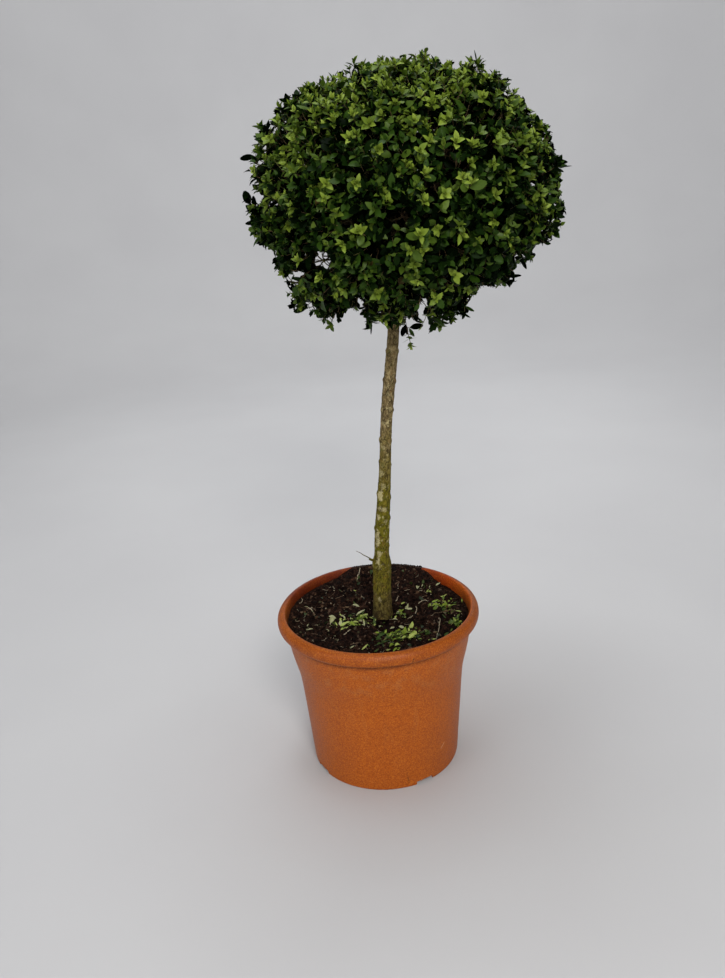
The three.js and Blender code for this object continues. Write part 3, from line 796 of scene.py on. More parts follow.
def make_litter():
    """Fine fibres, and the twigs and roots that lie on the bed."""
    groups = []
    n = 140
    x, y, z = scatter_on_bed(n, 18, 117)
    a = rng.uniform(0, TAU, n)
    ln = rng.uniform(3, 12, n)
    k = 5
    t = np.linspace(-0.5, 0.5, k)
    bend = rng.normal(0, 0.35, n)
    dx = np.cos(a[:, None] + bend[:, None] * t * 2) * t * ln[:, None]
    dy = np.sin(a[:, None] + bend[:, None] * t * 2) * t * ln[:, None]
    px, py = x[:, None] + dx, y[:, None] + dy
    inside = np.hypot(px, py).max(1) < 121
    px, py = px[inside], py[inside]
    pz = np.maximum(on_bed(px, py), np.mean(on_bed(px, py), 1, keepdims=True)) + 0.5 + rng.uniform(0, 1.2, (inside.sum(), 1))
    rad = rng.uniform(0.12, 0.30, inside.sum())[:, None] * np.array([0.5, 0.9, 1, 0.9, 0.45])
    v, q = tubes(np.stack([px, py, pz], -1), rad, 4)
    groups.append((v, q, np.repeat(rng.choice(2, inside.sum(), p=[0.55, 0.45]), (k - 1) * 4)))
    long_ones = [
        ([(-21, 118), (-24, 104), (-28, 92)], 0.8, 1.6, 1),
        ([(26, 31), (31, 46)], 0.6, 1.2, 1),
        ([(84, -19), (80, -43), (73, -76)], 0.75, 1.6, 1),
        ([(53, 19), (55, 6), (48, -9), (38, -15)], 0.8, 1.3, 1),
        ([(75, -11), (92, 2), (109, -6), (114, -14)], 0.8, 2.2, 0),
        ([(57, 28), (64, 31), (73, 25)], 0.7, 1.4, 1),
        ([(-97, 31), (-89, 17)], 0.8, 1.2, 1),
        ([(-111, 42), (-106, 52), (-108, 60)], 0.6, 1.2, 1),
        ([(-48, -47), (-37, -36)], 0.8, 1.4, 1),
        ([(-64, 93), (-60, 80)], 0.6, 1.0, 1),
        ([(-40, -74), (-24, -73)], 0.6, 1.0, 0),
        ([(-17, -92), (-12, -99)], 0.7, 1.0, 1),
        ([(-92, -38), (-76, -50)], 0.6, 1.0, 0),
        ([(8, 70), (20, 83), (24, 98)], 0.6, 1.2, 0),
        ([(-60, 50), (-48, 60), (-40, 74)], 0.55, 1.2, 0),
    ]
    for pts, rad0, lift, tone in long_ones:
        m = 16
        x, y = laid_path(pts, m)
        z = on_bed(x, y)
        z = np.maximum(z, np.convolve(np.pad(z, 3, "edge"), np.ones(7) / 7, "valid")) + lift * 0.6
        rad = 0.8 * rad0 * np.interp(np.linspace(0, 1, m), [0, 0.1, 0.7, 1], [0.75, 1, 0.8, 0.35])
        v, q = tubes(np.stack([x, y, z], -1)[None], rad[None], 6)
        groups.append((v, q, np.full(len(q), tone)))
    verts, quads, kinds, at = [], [], [], 0
    for v, q, kk in groups:
        verts.append(v)
        quads.append(q + at)
        kinds.append(kk)
        at += len(v)
    mats = []
    for name, a, b in (("dark_fibre", srgb(62, 46, 34), srgb(110, 88, 66)), ("pale_fibre", srgb(138, 122, 98), srgb(196, 184, 156))):
        s = Surface(name, rough=0.8, specular=0.3)
        w = s.coords()
        s.colour(s.ramp(s.noise(w, 350, 3, 0.6), [(0.35, a), (0.65, b)]))
        s.bump(s.noise(w, 1500, 2, 0.6), 0.0002, 0.7)
        mats.append(s.m)
    return mesh_object("litter", np.concatenate(verts), np.concatenate(quads), mats=mats, qmat=np.concatenate(kinds))


piece(make_litter(), "compost")


# ------------------------------------------------------- stem and boughs' bark
FOOT_Z = 212.3
FORK_Z = 641.0


def stem_line(z):
    t = (np.asarray(z, float) - FOOT_Z) / (FORK_Z - FOOT_Z)
    tt = np.clip(t, 0, None)
    x = 6.6 + 39.6 * tt**1.5 + 0.5 * np.sin(17 * t)
    y = 4 * (1 - t) + 1.0 * np.sin(11 * t + 1) - 0.84 * (1 - t)
    return np.stack([x, y, np.asarray(z, float)], -1)


def stem_radius(z, a):
    t = (z - FOOT_Z) / (FORK_Z - FOOT_Z)
    upper = lerp(20.0, 14.6, smooth(z, 292, 480) * 0.8 + 0.2 * t)
    d = lerp(25.0, upper, smooth(z, 288, 306))
    d = d + 1.6 * np.exp(-(((z - 287) / 9) ** 2)) + 2.4 * np.exp(-np.maximum(z - FOOT_Z, 0) / 9)
    d = lerp(d, 20.0, smooth(z, 607, 632))
    top = np.maximum((z - 632) / 9, 0)
    d = d * np.sqrt(np.maximum(0.2, 1 - 0.8 * top * top))
    return d / 2 + (0.35 * np.sin(3 * a + z * 0.021) + 0.25 * np.sin(2 * a - z * 0.034 + 1)) * (1 - smooth(t, 0.9, 1))


def bark_relief(p, along, scale=1.0):
    """Plates, fissures and grain: p is on the limb, along is the distance up it.
    Gives the rise in millimetres, and how deep in a fissure each point is."""
    q = p * np.array([1, 1, 0.0]) + np.array([0, 0, 1.0]) * (along * 0.5)[:, None]
    warp = (np.stack([fbm(q, 7, 2, s) for s in (71, 72, 73)], -1) - 0.5) * 5
    ridge = 1 - 2 * np.abs(fbm(q + warp, 4.6 * scale, 3, 81) - 0.5)
    fissure = smooth(ridge, 0.88, 0.99)
    cross = 1 - 2 * np.abs(fbm((q + warp) * np.array([0.5, 0.5, 3.2]), 5.0 * scale, 2, 91) - 0.5)
    crack = smooth(cross, 0.93, 0.995) * smooth(fbm(q, 12, 2, 95), 0.42, 0.6)
    lumps = (fbm(q, 15 * scale, 3, 101) - 0.5) * 0.8
    grain = (fbm(q, 1.5, 2, 111) - 0.5) * 0.32
    plates = (fbm(q + warp, 5.0 * scale, 2, 121) - 0.5) * 0.55
    deep = np.maximum(fissure, crack * 0.8)
    return lumps + plates + grain - deep * 0.40, deep


def limb_frames(points):
    t = np.gradient(points, axis=0)
    t = unit(t)
    u = np.empty_like(points)
    u[0] = unit(np.array([1.0, 0, 0]) - t[0] * t[0][0])
    for i in range(1, len(points)):
        w = u[i - 1] - t[i] * np.dot(u[i - 1], t[i])
        u[i] = w / np.linalg.norm(w)
    return t, u, np.cross(t, u)


# old bud scars and the shoulders of lost shoots: height, direction round the stem
# (degrees from +X towards +Y), rise, half height
SCARS = [(579, 178, 0.9, 3.0), (579, 2, 0.9, 3.0), (560, 268, 0.8, 2.6), (542, 184, 1.2, 3.2), (541, 6, 1.0, 3.0),
         (523, 275, 0.8, 2.6), (523, 92, 0.9, 3.0), (504, 356, 1.2, 3.0), (503, 180, 0.6, 3.0), (484, 262, 0.7, 2.4),
         (464, 186, 1.3, 3.4), (463, 4, 0.7, 3.0), (443, 280, 1.0, 3.0), (434, 176, 1.0, 3.0), (430, 8, 0.8, 3.0),
         (411, 268, 0.8, 2.6), (391, 190, 1.2, 3.4), (386, 352, 1.1, 3.2), (372, 250, 0.9, 3.0), (357, 2, 1.3, 3.6),
         (341, 184, 1.2, 3.0), (338, 300, 0.8, 3.0), (322, 232, 0.9, 3.0), (316, 350, 0.8, 3.0), (306, 100, 1.0, 3.4),
         (276, 330, 0.9, 4.0), (262, 200, 0.8, 4.0), (243, 282, 0.9, 4.0), (232, 20, 0.8, 4.0), (240, 120, 0.9, 4.0)]

# patches of pale lichen: height, direction, half height, half width, strength
LICHEN = [(389, 236, 7, 26, 1.0), (372, 262, 3.2, 60, 0.85), (360, 226, 5, 18, 0.9), (336, 226, 8, 24, 1.1),
          (323, 232, 7, 20, 1.0), (308, 244, 4, 18, 1.0), (298, 236, 5, 18, 1.1), (404, 258, 5, 30, 0.6),
          (420, 232, 5, 22, 0.5), (240, 250, 4, 12, 0.6), (352, 300, 4, 16, 0.5), (344, 150, 8, 26, 0.8),
          (381, 130, 9, 28, 0.8), (316, 120, 7, 24, 0.8), (400, 60, 7, 26, 0.6), (455, 250, 4, 20, 0.5),
          (330, 55, 6, 20, 0.6), (366, 95, 6, 26, 0.7), (487, 236, 4, 20, 0.4), (528, 254, 4, 20, 0.4)]


def make_bark():
    parts = []      # (verts, quads, fields)

    # the stem
    zs = np.concatenate([np.linspace(203.5, 632, 425), np.linspace(632.6, 641, 12)])
    sides = 76
    ang = np.arange(sides) * TAU / sides
    line = stem_line(np.maximum(zs, FOOT_Z))
    line[:, 2] = zs
    t, u, v = limb_frames(line)
    level = smooth(zs, FOOT_Z + 6, FOOT_Z)[:, None]         # the foot is level
    t = unit(lerp(t, np.array([0, 0, 1.0]), level))
    u = unit(u - t * dots(u, t))
    v = np.cross(t, u)
    Z, A = np.meshgrid(zs, ang, indexing="ij")
    rad = stem_radius(np.maximum(Z, FOOT_Z), A)
    flutes = 0.8 * np.exp(-np.maximum(Z - FOOT_Z, 0) / 14) * np.sin(5 * A + 0.7) + 0.5 * np.exp(-np.maximum(Z - FOOT_Z, 0) / 22) * np.sin(2 * A + 2.1)
    rad = rad + flutes
    deg = np.degrees(A) % 360
    for z0, az, rise, hh in SCARS:
        da = (deg - az + 180) % 360 - 180
        bump = rise * np.exp(-((Z - z0) / hh) ** 2 - (da / 34) ** 2)
        lip = 0.35 * rise * np.exp(-((Z - z0 - hh * 1.5) / (hh * 0.5)) ** 2 - (da / 40) ** 2)
        rad = rad + bump - lip
    # callus under the old cut, above the knot
    da = (deg - 200 + 180) % 360 - 180
    rad = rad + 0.5 * np.exp(-((Z - 291) / 6) ** 2 - (da / 60) ** 2) - 0.5 * np.exp(-((Z - 286) / 12) ** 2)
    ring = np.cos(A)[..., None] * u[:, None] + np.sin(A)[..., None] * v[:, None]
    base = line[:, None] + ring * rad[..., None]
    rel, deep = bark_relief(base.reshape(-1, 3), Z.ravel())
    low = smooth(Z.ravel(), 300, 285)
    rel = rel * (0.85 + 0.10 * low)
    verts = base.reshape(-1, 3) + ring.reshape(-1, 3) * rel[:, None]
    lich = np.zeros(Z.size)
    jag = fbm(verts, 6.0, 3, 131, 0.6) - 0.5
    for z0, az, hh, hw, s in LICHEN:
        da = ((deg - az + 180) % 360 - 180).ravel()
        d = np.sqrt(((Z.ravel() - z0) / hh) ** 2 + (da / hw) ** 2)
        lich = np.maximum(lich, s * smooth(d + jag * 2.2, 1.05, 0.75))
    fleck = smooth(fbm(verts, 3.4, 2, 141), 0.68, 0.76) * smooth(Z.ravel(), 620, 480) * 0.7 * smooth(Z.ravel(), 270, 305)
    lich = np.maximum(lich, fleck)
    verts[:, :] += ring.reshape(-1, 3) * (lich * 0.22)[:, None]
    quads = grid(len(zs), sides)
    n = len(verts)
    caps = np.array([line[0] - [0, 0, 0.0], line[-1] + [0, 0, 0.4]])
    verts = np.concatenate([verts, caps])
    c = np.arange(sides)
    tris = np.concatenate([np.stack([np.full(sides, n), (c + 1) % sides, c], -1),
                           np.stack([np.full(sides, n + 1), n - sides + c, n - sides + (c + 1) % sides], -1)])
    z1 = np.zeros(2)
    parts.append((verts, quads, tris, np.append(deep, z1), np.append(lich, z1)))

    # boughs
    head = stem_line(FORK_Z)
    paths = []
    for k in range(5):
        if k < 4:
            az = math.radians(32 + 90 * k + 9 * math.sin(2.3 * k))
            el = math.radians(33 + 4 * math.sin(1.7 * k + 1))
            d = np.array([math.cos(az) * math.cos(el), math.sin(az) * math.cos(el), math.sin(el)])
            pts = [head + [0, 0, -9.5], head + d * 22 + [0, 0, -1.5], head + d * 44 + [0, 0, 4]]
        else:
            az, el = math.radians(60), math.radians(78)
            d = np.array([math.cos(az) * math.cos(el), math.sin(az) * math.cos(el), math.sin(el)])
            pts = [head + [0, 0, -6], head + d * 18.9 + [0, 0, -3], head + d * 37.8]
        paths.append(pts)
    ends = []
    for k, pts in enumerate(paths):
        m = 46
        s = np.linspace(0, 1, m)[:, None]
        a, b, c3 = (np.array(p) for p in pts)
        mid = 2 * b - (a + c3) / 2
        curve = (1 - s) ** 2 * a + 2 * s * (1 - s) * mid + s * s * c3
        t, u, v = limb_frames(curve)
        sides = 26
        ang = np.arange(sides) * TAU / sides
        S, A = np.meshgrid(np.linspace(0, 1, m), ang, indexing="ij")
        rad = lerp(4.3, 3.1, S) + 1.0 * np.exp(-S / 0.12) + 0.2 * np.sin(2 * A + 3 * S + k)
        ring = np.cos(A)[..., None] * u[:, None] + np.sin(A)[..., None] * v[:, None]
        base = (curve[:, None] + ring * rad[..., None]).reshape(-1, 3)
        rel, deep = bark_relief(base + 50 * k, S.ravel() * 48, 0.8)
        verts = base + ring.reshape(-1, 3) * (rel * 0.55)[:, None]
        tip = len(verts)
        verts = np.concatenate([verts, [curve[-1] + t[-1] * 0.6, curve[0]]])
        c = np.arange(sides)
        tris = np.concatenate([np.stack([np.full(sides, tip), tip - sides + c, tip - sides + (c + 1) % sides], -1),
                               np.stack([np.full(sides, tip + 1), (c + 1) % sides, c], -1)])
        parts.append((verts, grid(m, sides), tris, np.append(deep, [0, 0]), np.zeros(len(verts))))
        ends.append((curve[-1], t[-1]))

    # the stub at the knot, with its broken end, and the thin dead twig beside it
    at = stem_line(290.0)
    d = unit(np.array([-0.88, -0.2, 0.43]))
    m = 12
    s = np.linspace(0, 1, m)
    path = at + d * (s[:, None] * 18.6)
    t, u, v = limb_frames(path)
    sides = 18
    ang = np.arange(sides) * TAU / sides
    S, A = np.meshgrid(s, ang, indexing="ij")
    rad = lerp(2.6, 1.35, S) + 0.25 * np.sin(3 * A + 5 * S)
    ring = np.cos(A)[..., None] * u[:, None] + np.sin(A)[..., None] * v[:, None]
    base = (path[:, None] + ring * rad[..., None]).reshape(-1, 3)
    rel, deep = bark_relief(base, S.ravel() * 20, 0.6)
    verts = base + ring.reshape(-1, 3) * (rel * 0.35)[:, None]
    jagged = (np.arange(len(verts)) >= len(verts) - sides) * (0.9 * np.sin(4 * np.tile(ang, m)) + 0.5)
    verts = verts + d * jagged[:, None]
    tip = len(verts)
    verts = np.concatenate([verts, [path[-1] - d * 0.8, path[0]]])
    c = np.arange(sides)
    tris = np.concatenate([np.stack([np.full(sides, tip), tip - sides + c, tip - sides + (c + 1) % sides], -1),
                           np.stack([np.full(sides, tip + 1), (c + 1) % sides, c], -1)])
    parts.append((verts, grid(m, sides), tris, np.append(deep, [0.4, 0]), np.zeros(len(verts))))

    all_v, all_q, all_t, deeps, lichs, at_v = [], [], [], [], [], 0
    for verts, quads, tris, dp, lc in parts:
        all_v.append(verts)
        all_q.append(quads + at_v)
        all_t.append(tris + at_v)
        deeps.append(dp)
        lichs.append(lc)
        at_v += len(verts)
    o = mesh_object("bark", np.concatenate(all_v), np.concatenate(all_q), np.concatenate(all_t), [bark_material()],
                    fields={"fissure": np.concatenate(deeps), "lichen": np.concatenate(lichs)})
    return o, ends


def bark_material():
    s = Surface("box_bark", rough=0.86, specular=0.15)
    v = s.coords()
    x, y, z = s.xyz(v)
    stretched = s.coords((1, 1, 0.55))
    a = s.noise(stretched, 260, 5, 0.65)
    b = s.noise(v, 900, 4, 0.7)
    wide = s.noise(v, 42, 3, 0.55)
    pattern = s.maths("ADD", s.maths("MULTIPLY", a, 0.6), s.maths("MULTIPLY", b, 0.4))
    upper = s.ramp(pattern, [(0.33, srgb(50, 40, 26)), (0.45, srgb(104, 89, 62)), (0.56, srgb(150, 134, 100)), (0.70, srgb(205, 190, 152))])
    lower = s.ramp(pattern, [(0.33, srgb(56, 47, 14)), (0.46, srgb(108, 98, 28)), (0.58, srgb(138, 128, 44)), (0.72, srgb(172, 160, 84))])
    foot = s.ramp(pattern, [(0.36, srgb(40, 32, 18)), (0.47, srgb(92, 80, 44)), (0.57, srgb(128, 114, 66)), (0.68, srgb(178, 164, 118))])
    zn = s.maths("ADD", z, s.maths("MULTIPLY", s.maths("SUBTRACT", wide, 0.5), 0.16))
    col = s.mix(s.span(zn, 0.50, 0.39), upper, lower)
    # green film of algae, strongest between the knot and a third of the way up
    green = s.maths("MULTIPLY", s.span(zn, 0.44, 0.36), s.span(z, 0.29, 0.315, 0.45, 1.0))
    patchy = s.span(s.noise(v, 95, 4, 0.6), 0.40, 0.60)
    col = s.mix(s.maths("MULTIPLY", s.maths("MULTIPLY", green, patchy), 0.85), col,
                s.ramp(b, [(0.35, srgb(82, 84, 10)), (0.65, srgb(128, 126, 30))]))
    # scattered green patches over the stem
    some = s.maths("MULTIPLY", s.span(s.noise(v, 120, 4, 0.6), 0.56, 0.68), 0.6)
    col = s.mix(some, col, srgb(92, 94, 42))
    col = s.mix(s.span(zn, 0.262, 0.226, 0.0, 0.85), col, foot)
    # warm brown wood showing here and there
    warm = s.maths("MULTIPLY", s.span(s.noise(v, 150, 3, 0.6), 0.60, 0.70), 0.55)
    col = s.mix(warm, col, srgb(138, 98, 48))
    lich = s.maths("MULTIPLY", s.field("lichen"), s.span(b, 0.36, 0.55, 0.55, 1.0))
    col = s.mix(lich, col, s.ramp(b, [(0.35, srgb(168, 158, 112)), (0.65, srgb(214, 206, 168))]))
    flecks = s.maths("MULTIPLY", s.span(s.cells(s.coords((1, 1, 0.6)), 480), 0.10, 0.22, 1.0, 0.0), s.span(s.noise(v, 170, 2, 0.5), 0.48, 0.58))
    col = s.mix(s.maths("MULTIPLY", flecks, 0.75), col, srgb(40, 32, 20))
    col = s.mix(s.maths("MULTIPLY", s.field("fissure"), 0.8), col, srgb(38, 30, 18))
    # soil splashed on the foot
    soil = s.maths("MULTIPLY", s.span(z, 0.232, 0.2135), s.span(s.noise(v, 200, 4, 0.65), 0.40, 0.60, 0.3, 1.0))
    col = s.mix(s.maths("MULTIPLY", soil, 0.8), col, srgb(40, 28, 18))
    col = s.mix(1.0, col, (0.78, 0.745, 0.64, 1), "MULTIPLY")
    s.colour(col)
    s.bump(s.maths("ADD", b, s.noise(v, 2300, 2, 0.6)), 0.0004, 0.8)
    return s.m


bark, bough_ends = make_bark()
piece(bark, "bark", "trunk", "bough_1", "bough_2", "bough_3", "bough_4", "bough_5")


# ----------------------------------------------------------------- the crown
CROWN_AT = np.array([60.0, 0, 760])
CROWN_R = np.array([181.0, 179, 148])
HOLLOW_AT = np.array([43.0, 1, 611])
FORK = np.array([48.0, 0, 690])

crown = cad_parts["crown"]
_cv = np.array([(crown.matrix_world @ w.co)[:] for w in crown.data.vertices]) / MM
crown.data.calc_loop_triangles()
_ct = np.array([t.vertices[:] for t in crown.data.loop_triangles])
crown_tree = BVHTree.FromPolygons([tuple(p) for p in _cv], [tuple(int(i) for i in t) for t in _ct])


def spread_points(n_candidates, gap):
    """Points spread evenly over the crown's surface, gap millimetres apart, with
    outward directions, and whether each is on the hollow round the fork."""
    a, b, c = (_cv[_ct[:, i]] for i in range(3))
    area = np.linalg.norm(np.cross(b - a, c - a), axis=1)
    pick = rng.choice(len(_ct), n_candidates, p=area / area.sum())
    r1, r2 = np.sqrt(rng.random(n_candidates)), rng.random(n_candidates)
    p = a[pick] * (1 - r1)[:, None] + b[pick] * (r1 * (1 - r2))[:, None] + c[pick] * (r1 * r2)[:, None]
    face = unit(np.cross(b - a, c - a))[pick]
    tree = KDTree(n_candidates)
    for i, q in enumerate(p):
        tree.insert(q, i)
    tree.balance()
    gone = np.zeros(n_candidates, bool)
    keep = []
    gaps = gap(p) if callable(gap) else np.full(n_candidates, float(gap))
    for i in range(n_candidates):
        if gone[i]:
            continue
        keep.append(i)
        for _, j, _ in tree.find_range(p[i], gaps[i]):
            gone[j] = True
    p, face = p[keep], face[keep]
    radial = unit((p - CROWN_AT) / CROWN_R**2)
    depth = np.sqrt((((p - CROWN_AT) / CROWN_R) ** 2).sum(1))
    hollow = (depth < 0.82) & (p[:, 2] < 690)
    face = np.where(dots(face, radial) < 0, -face, face)
    n = unit(radial + 0.35 * face)
    away = unit(p - np.array([43.0, 1, 560]))
    n = np.where(hollow[:, None], unit(-away * np.array([1, 1, 1])), n)
    return p, n, hollow


def hollow_round_fork(p):
    """Points inside the bare hollow round the fork."""
    d = (p - HOLLOW_AT) / np.array([37.0, 37, 49])
    return (d**2).sum(-1) < 1


# gaps through which light shows: picture x, y, half width, half height
SKY = []
for gx, gz, gw, gh in ((-39, 694, 14, 13), (-108, 770, 6, 12), (-60, 642, 10, 6), (126, 896, 8, 5), (-77, 675, 7, 6),
                       (-68, 680, 11, 4), (2, 641, 5, 7), (5, 895, 6, 4), (-83, 843, 5, 4), (-74, 663, 4, 4),
                       (50, 605, 3, 6), (-102, 810, 4, 5), (127, 676, 4, 4), (-31, 627, 3, 5), (184, 864, 5, 3),
                       (-109, 787, 3, 3), (-96, 824, 3, 4)):
    c = seen_at(np.array([[gx, 0, gz]]))[0]
    SKY.append((c[0], c[1], gw / 2 + 0.4, gh / 2 + 0.4))
SKY += [(425.5, 302, 4, 5.5), (421.5, 312, 4.5, 8), (321, 257, 5, 5), (326, 264, 4.5, 5)]
SKY += [(533, 183, 2.5, 2.5), (303, 256, 3, 2), (265, 147, 1.6, 1.6), (517, 257, 2, 3), (488, 266, 2, 2),
        (462, 266, 2, 2), (276, 203, 2.5, 2.5), (296, 276, 5, 3)]
# steps and notches in the clipped outline
SKY += [(506, 304, 29, 18), (474, 306, 7, 6), (352, 321, 12, 13), (379, 330, 8, 8), (412, 325, 8, 6), (425, 328, 4.5, 5),
        (278, 290, 9, 9), (267, 255, 8, 6), (544, 252, 13, 9), (524, 271, 10, 9), (530, 97, 6, 8), (443, 60, 2.5, 4),
        (249, 147, 4, 5), (247, 165, 4, 3), (561, 150, 5, 5), (564, 187, 4, 7), (395, 53, 8, 4), (372, 59, 6, 3),
        (348, 76, 2.5, 2), (273, 131, 1.4, 1.4), (360, 303, 3, 5), (411, 48, 9, 6), (440, 49, 8, 8), (490, 68, 6, 5), (244, 130, 5, 8),
        (290, 84, 9, 5), (566, 232, 5, 9), (486, 292, 10, 7), (263, 268, 7, 6), (332, 68, 9, 3.5),
        (559, 142, 5, 8), (532, 104, 5, 6), (572, 208, 4, 10), (475, 301, 5, 6), (504, 66, 5, 5), (243, 177, 4, 6),
        (480, 301, 7, 8)]
# and where single tufts stand out of it: picture x, y, half width, half height, how far (mm)
PROUD = [(424, 60, 9, 10, 5), (493, 76, 6, 8, 3), (476, 67, 8, 7, 4), (405, 62, 12, 7, 4), (358, 68, 7, 6, 3), (350, 71, 8, 8, 3), 
         (328, 81, 8, 6, 2), (300, 95, 9, 8, 1), (287, 104, 10, 9, 3), (277, 119, 12, 10, 9), (266, 132, 12, 10, 3),
         (253, 175, 9, 12, 5), (253, 224, 9, 9, 2), (259, 236, 9, 8, 5), (556, 228, 9, 12, 4), (565, 206, 7, 8, 3),
         (320, 311, 9, 10, 3), (461, 311, 9, 8, 6), (511, 279, 8, 7, 6), (562, 166, 6, 8, 4),
         (546, 128, 8, 8, 3), (247, 215, 6, 28, 1.5), (350, 71, 8, 8, 2),
         # and where it is clipped closer
         (540, 114, 9, 9, -2.5), (553, 146, 8, 10, -2.5), (562, 178, 7, 12, -2.5), (566, 207, 7, 12, -2), (522, 266, 8, 14, -3), (518, 92, 8, 12, -3), (532, 108, 7, 6, -2), (290, 284, 7, 8, -4), (468, 314, 5, 6, -4), (536, 244, 12, 5, -3),
         (503, 285, 16, 7, -2), (268, 250, 12, 10, -2), (308, 312, 9, 10, -3), (294, 93, 14, 10, -2), (470, 58, 9, 6, -2)]

# shaded hollows in the front of the crown, where few leaves stand
SHADE = [(343, 224, 8, 13), (398, 220, 15, 9), (435, 215, 20, 5), (447, 152, 9, 7), (490, 152, 8, 6), (365, 174, 12, 6),
         (475, 107, 9, 6), (374, 253, 15, 7), (402, 270, 9, 5), (308, 258, 7, 5), (473, 190, 7, 5), (418, 135, 9, 5),
         (459, 251, 8, 5), (358, 282, 7, 5), (362, 174, 14, 6), (391, 233, 10, 9), (460, 164, 11, 7),
         (404, 143, 8, 5), (436, 186, 8, 4), (500, 118, 7, 6), (520, 150, 6, 8), (300, 118, 7, 5), (449, 281, 7, 6)]

# where the newest growth stands: picture x, y, half width, half height
NEWEST = [(438, 98, 16, 28), (385, 72, 24, 12), (455, 76, 20, 9)]
# where the front is well clothed and lively, and where it is older and quieter
LUSH = [(286, 150, 24, 32), (322, 116, 14, 12), (324, 200, 12, 18), (272, 205, 12, 22), (540, 182, 14, 20),
        (516, 234, 12, 14), (420, 284, 12, 10), (348, 92, 22, 10)]
QUIET = [(492, 92, 12, 10), (345, 170, 16, 20), (325, 245, 16, 18), (510, 205, 14, 14), (470, 258, 12, 12),
         (252, 210, 8, 14), (488, 158, 12, 14)]

# the brightest rosettes of new leaves on the front
BRIGHT = [(359, 231), (420, 232), (437, 229), (446, 194), (387, 201), (425, 201), (457, 140), (473, 143), (499, 141),
          (332, 119), (354, 118), (369, 122), (433, 102), (443, 96), (448, 117), (415, 119), (325, 183), (356, 183),
          (426, 173), (281, 201), (545, 207), (497, 194), (378, 150), (319, 277), (434, 292), (378, 293), (341, 245),
          (510, 112), (464, 177), (255, 172), (349, 137), (270, 139), (420, 150), (396, 102), (484, 95), (418, 69),
          (530, 133), (495, 223), (470, 183), (455, 276)]


def at_depth(u, v, y):
    """The point on a sight line at depth y."""
    d = sight(u, v)
    return CAM_AT + d * ((y - CAM_AT[1]) / d[1])


def inside_any(px, spots, grow=1.0):
    hit = np.zeros(len(px))
    for u, v, w, h in spots:
        d = np.sqrt(((px[:, 0] - u) / (w * grow)) ** 2 + ((px[:, 1] - v) / (h * grow)) ** 2)
        hit = np.maximum(hit, smooth(d, 1.15, 0.8))
    return hit


# shoots: their tips, just inside the clipped outline
def shoot_gap(p):
    return 8.0 + 1.1 * smooth(760 - p[:, 2], -20, 120)


tips_on, out_dir, on_hollow = spread_points(30000, shoot_gap)

# bring the nearest shoots on the front to where the brightest rosettes are
hero = np.zeros(len(tips_on), bool)
for u, v in BRIGHT:
    d = sight(u, v)
    hit = crown_tree.ray_cast(Vector(CAM_AT), Vector(d))
    if hit[0] is None:
        continue
    h = np.array(hit[0])
    dist = np.linalg.norm(tips_on - h, axis=1) + 1e6 * hero
    j = int(np.argmin(dist))
    tips_on[j] = h
    hero[j] = True

px = seen_at(tips_on)
front = (unit(CAM_AT - tips_on) * out_dir).sum(1) > 0.05
gap_noise = fbm(tips_on, 44, 2, 301)
gap_noise = (gap_noise - gap_noise.mean()) / gap_noise.std()
lower = smooth(tips_on[:, 2], 860, 700)
sparse = smooth(gap_noise, 1.25 - 0.2 * lower, 1.75 - 0.2 * lower)
sparse = np.maximum(sparse, inside_any(px, SHADE) * front)
sparse *= 1 - 0.85 * inside_any(px, LUSH) * front
sparse[hero] = 0
keep = ~((rng.random(len(tips_on)) < 0.80 * sparse) | (on_hollow & (rng.random(len(tips_on)) < 0.55)))
tips_on, out_dir, on_hollow, hero, sparse = (q[keep] for q in (tips_on, out_dir, on_hollow, hero, sparse))
N = len(tips_on)

clump = fbm(tips_on, 26, 2, 311)
clump = (clump - clump.mean()) / clump.std()
depth = 1.0 + 10.0 * smooth(clump, -0.3, 1.7) + rng.gamma(1.5, 2.2, N).clip(0, 16) + 19 * sparse
depth -= 3.0 * smooth(-clump, 0.5, 1.5)
depth[hero] = 2.0
tip_px = seen_at(tips_on)
for u, v, w, h, far in PROUD:
    depth -= far * inside_any(tip_px, [(u, v, w, h)])
low_side = smooth(tips_on[:, 2], 705, 640)
depth -= 5.0 * low_side * (sparse < 0.3)
depth -= (rng.random(N) < 0.05) * rng.uniform(3, 9, N)
depth += 5 * on_hollow
tip = tips_on - out_dir * depth[:, None]
up = np.array([0, 0, 1.0])
high = smooth(tips_on[:, 2], 700, 880)[:, None]
aim = unit(out_dir * (0.80 - 0.2 * high) + up * (0.46 + 0.25 * high) + rng.normal(0, 0.27, (N, 3)))
aim = unit(aim - up * 0.75 * low_side[:, None])
to_cam = unit(CAM_AT - tips_on)
star = (rng.random(hero.sum()) < 0.35)[:, None]
aim[hero] = unit(out_dir[hero] * 0.45 + to_cam[hero] * np.where(star, 0.75, 0.35) + up * np.where(star, 0.1, 0.7)
                 + rng.normal(0, 0.16, (hero.sum(), 3)))


# ------------------------------------------------------------------ branches
def ring_of(gap, share, n_candidates=5000, inset=None):
    p, n, hol = spread_points(n_candidates, gap)
    p, n = p[~hol], n[~hol]
    if inset is None:
        q = FORK + (p - FORK) * (share + rng.normal(0, 0.035, (len(p), 1)))
    else:
        q = p - n * (inset + rng.normal(0, 3.0, (len(p), 1)))
    return q


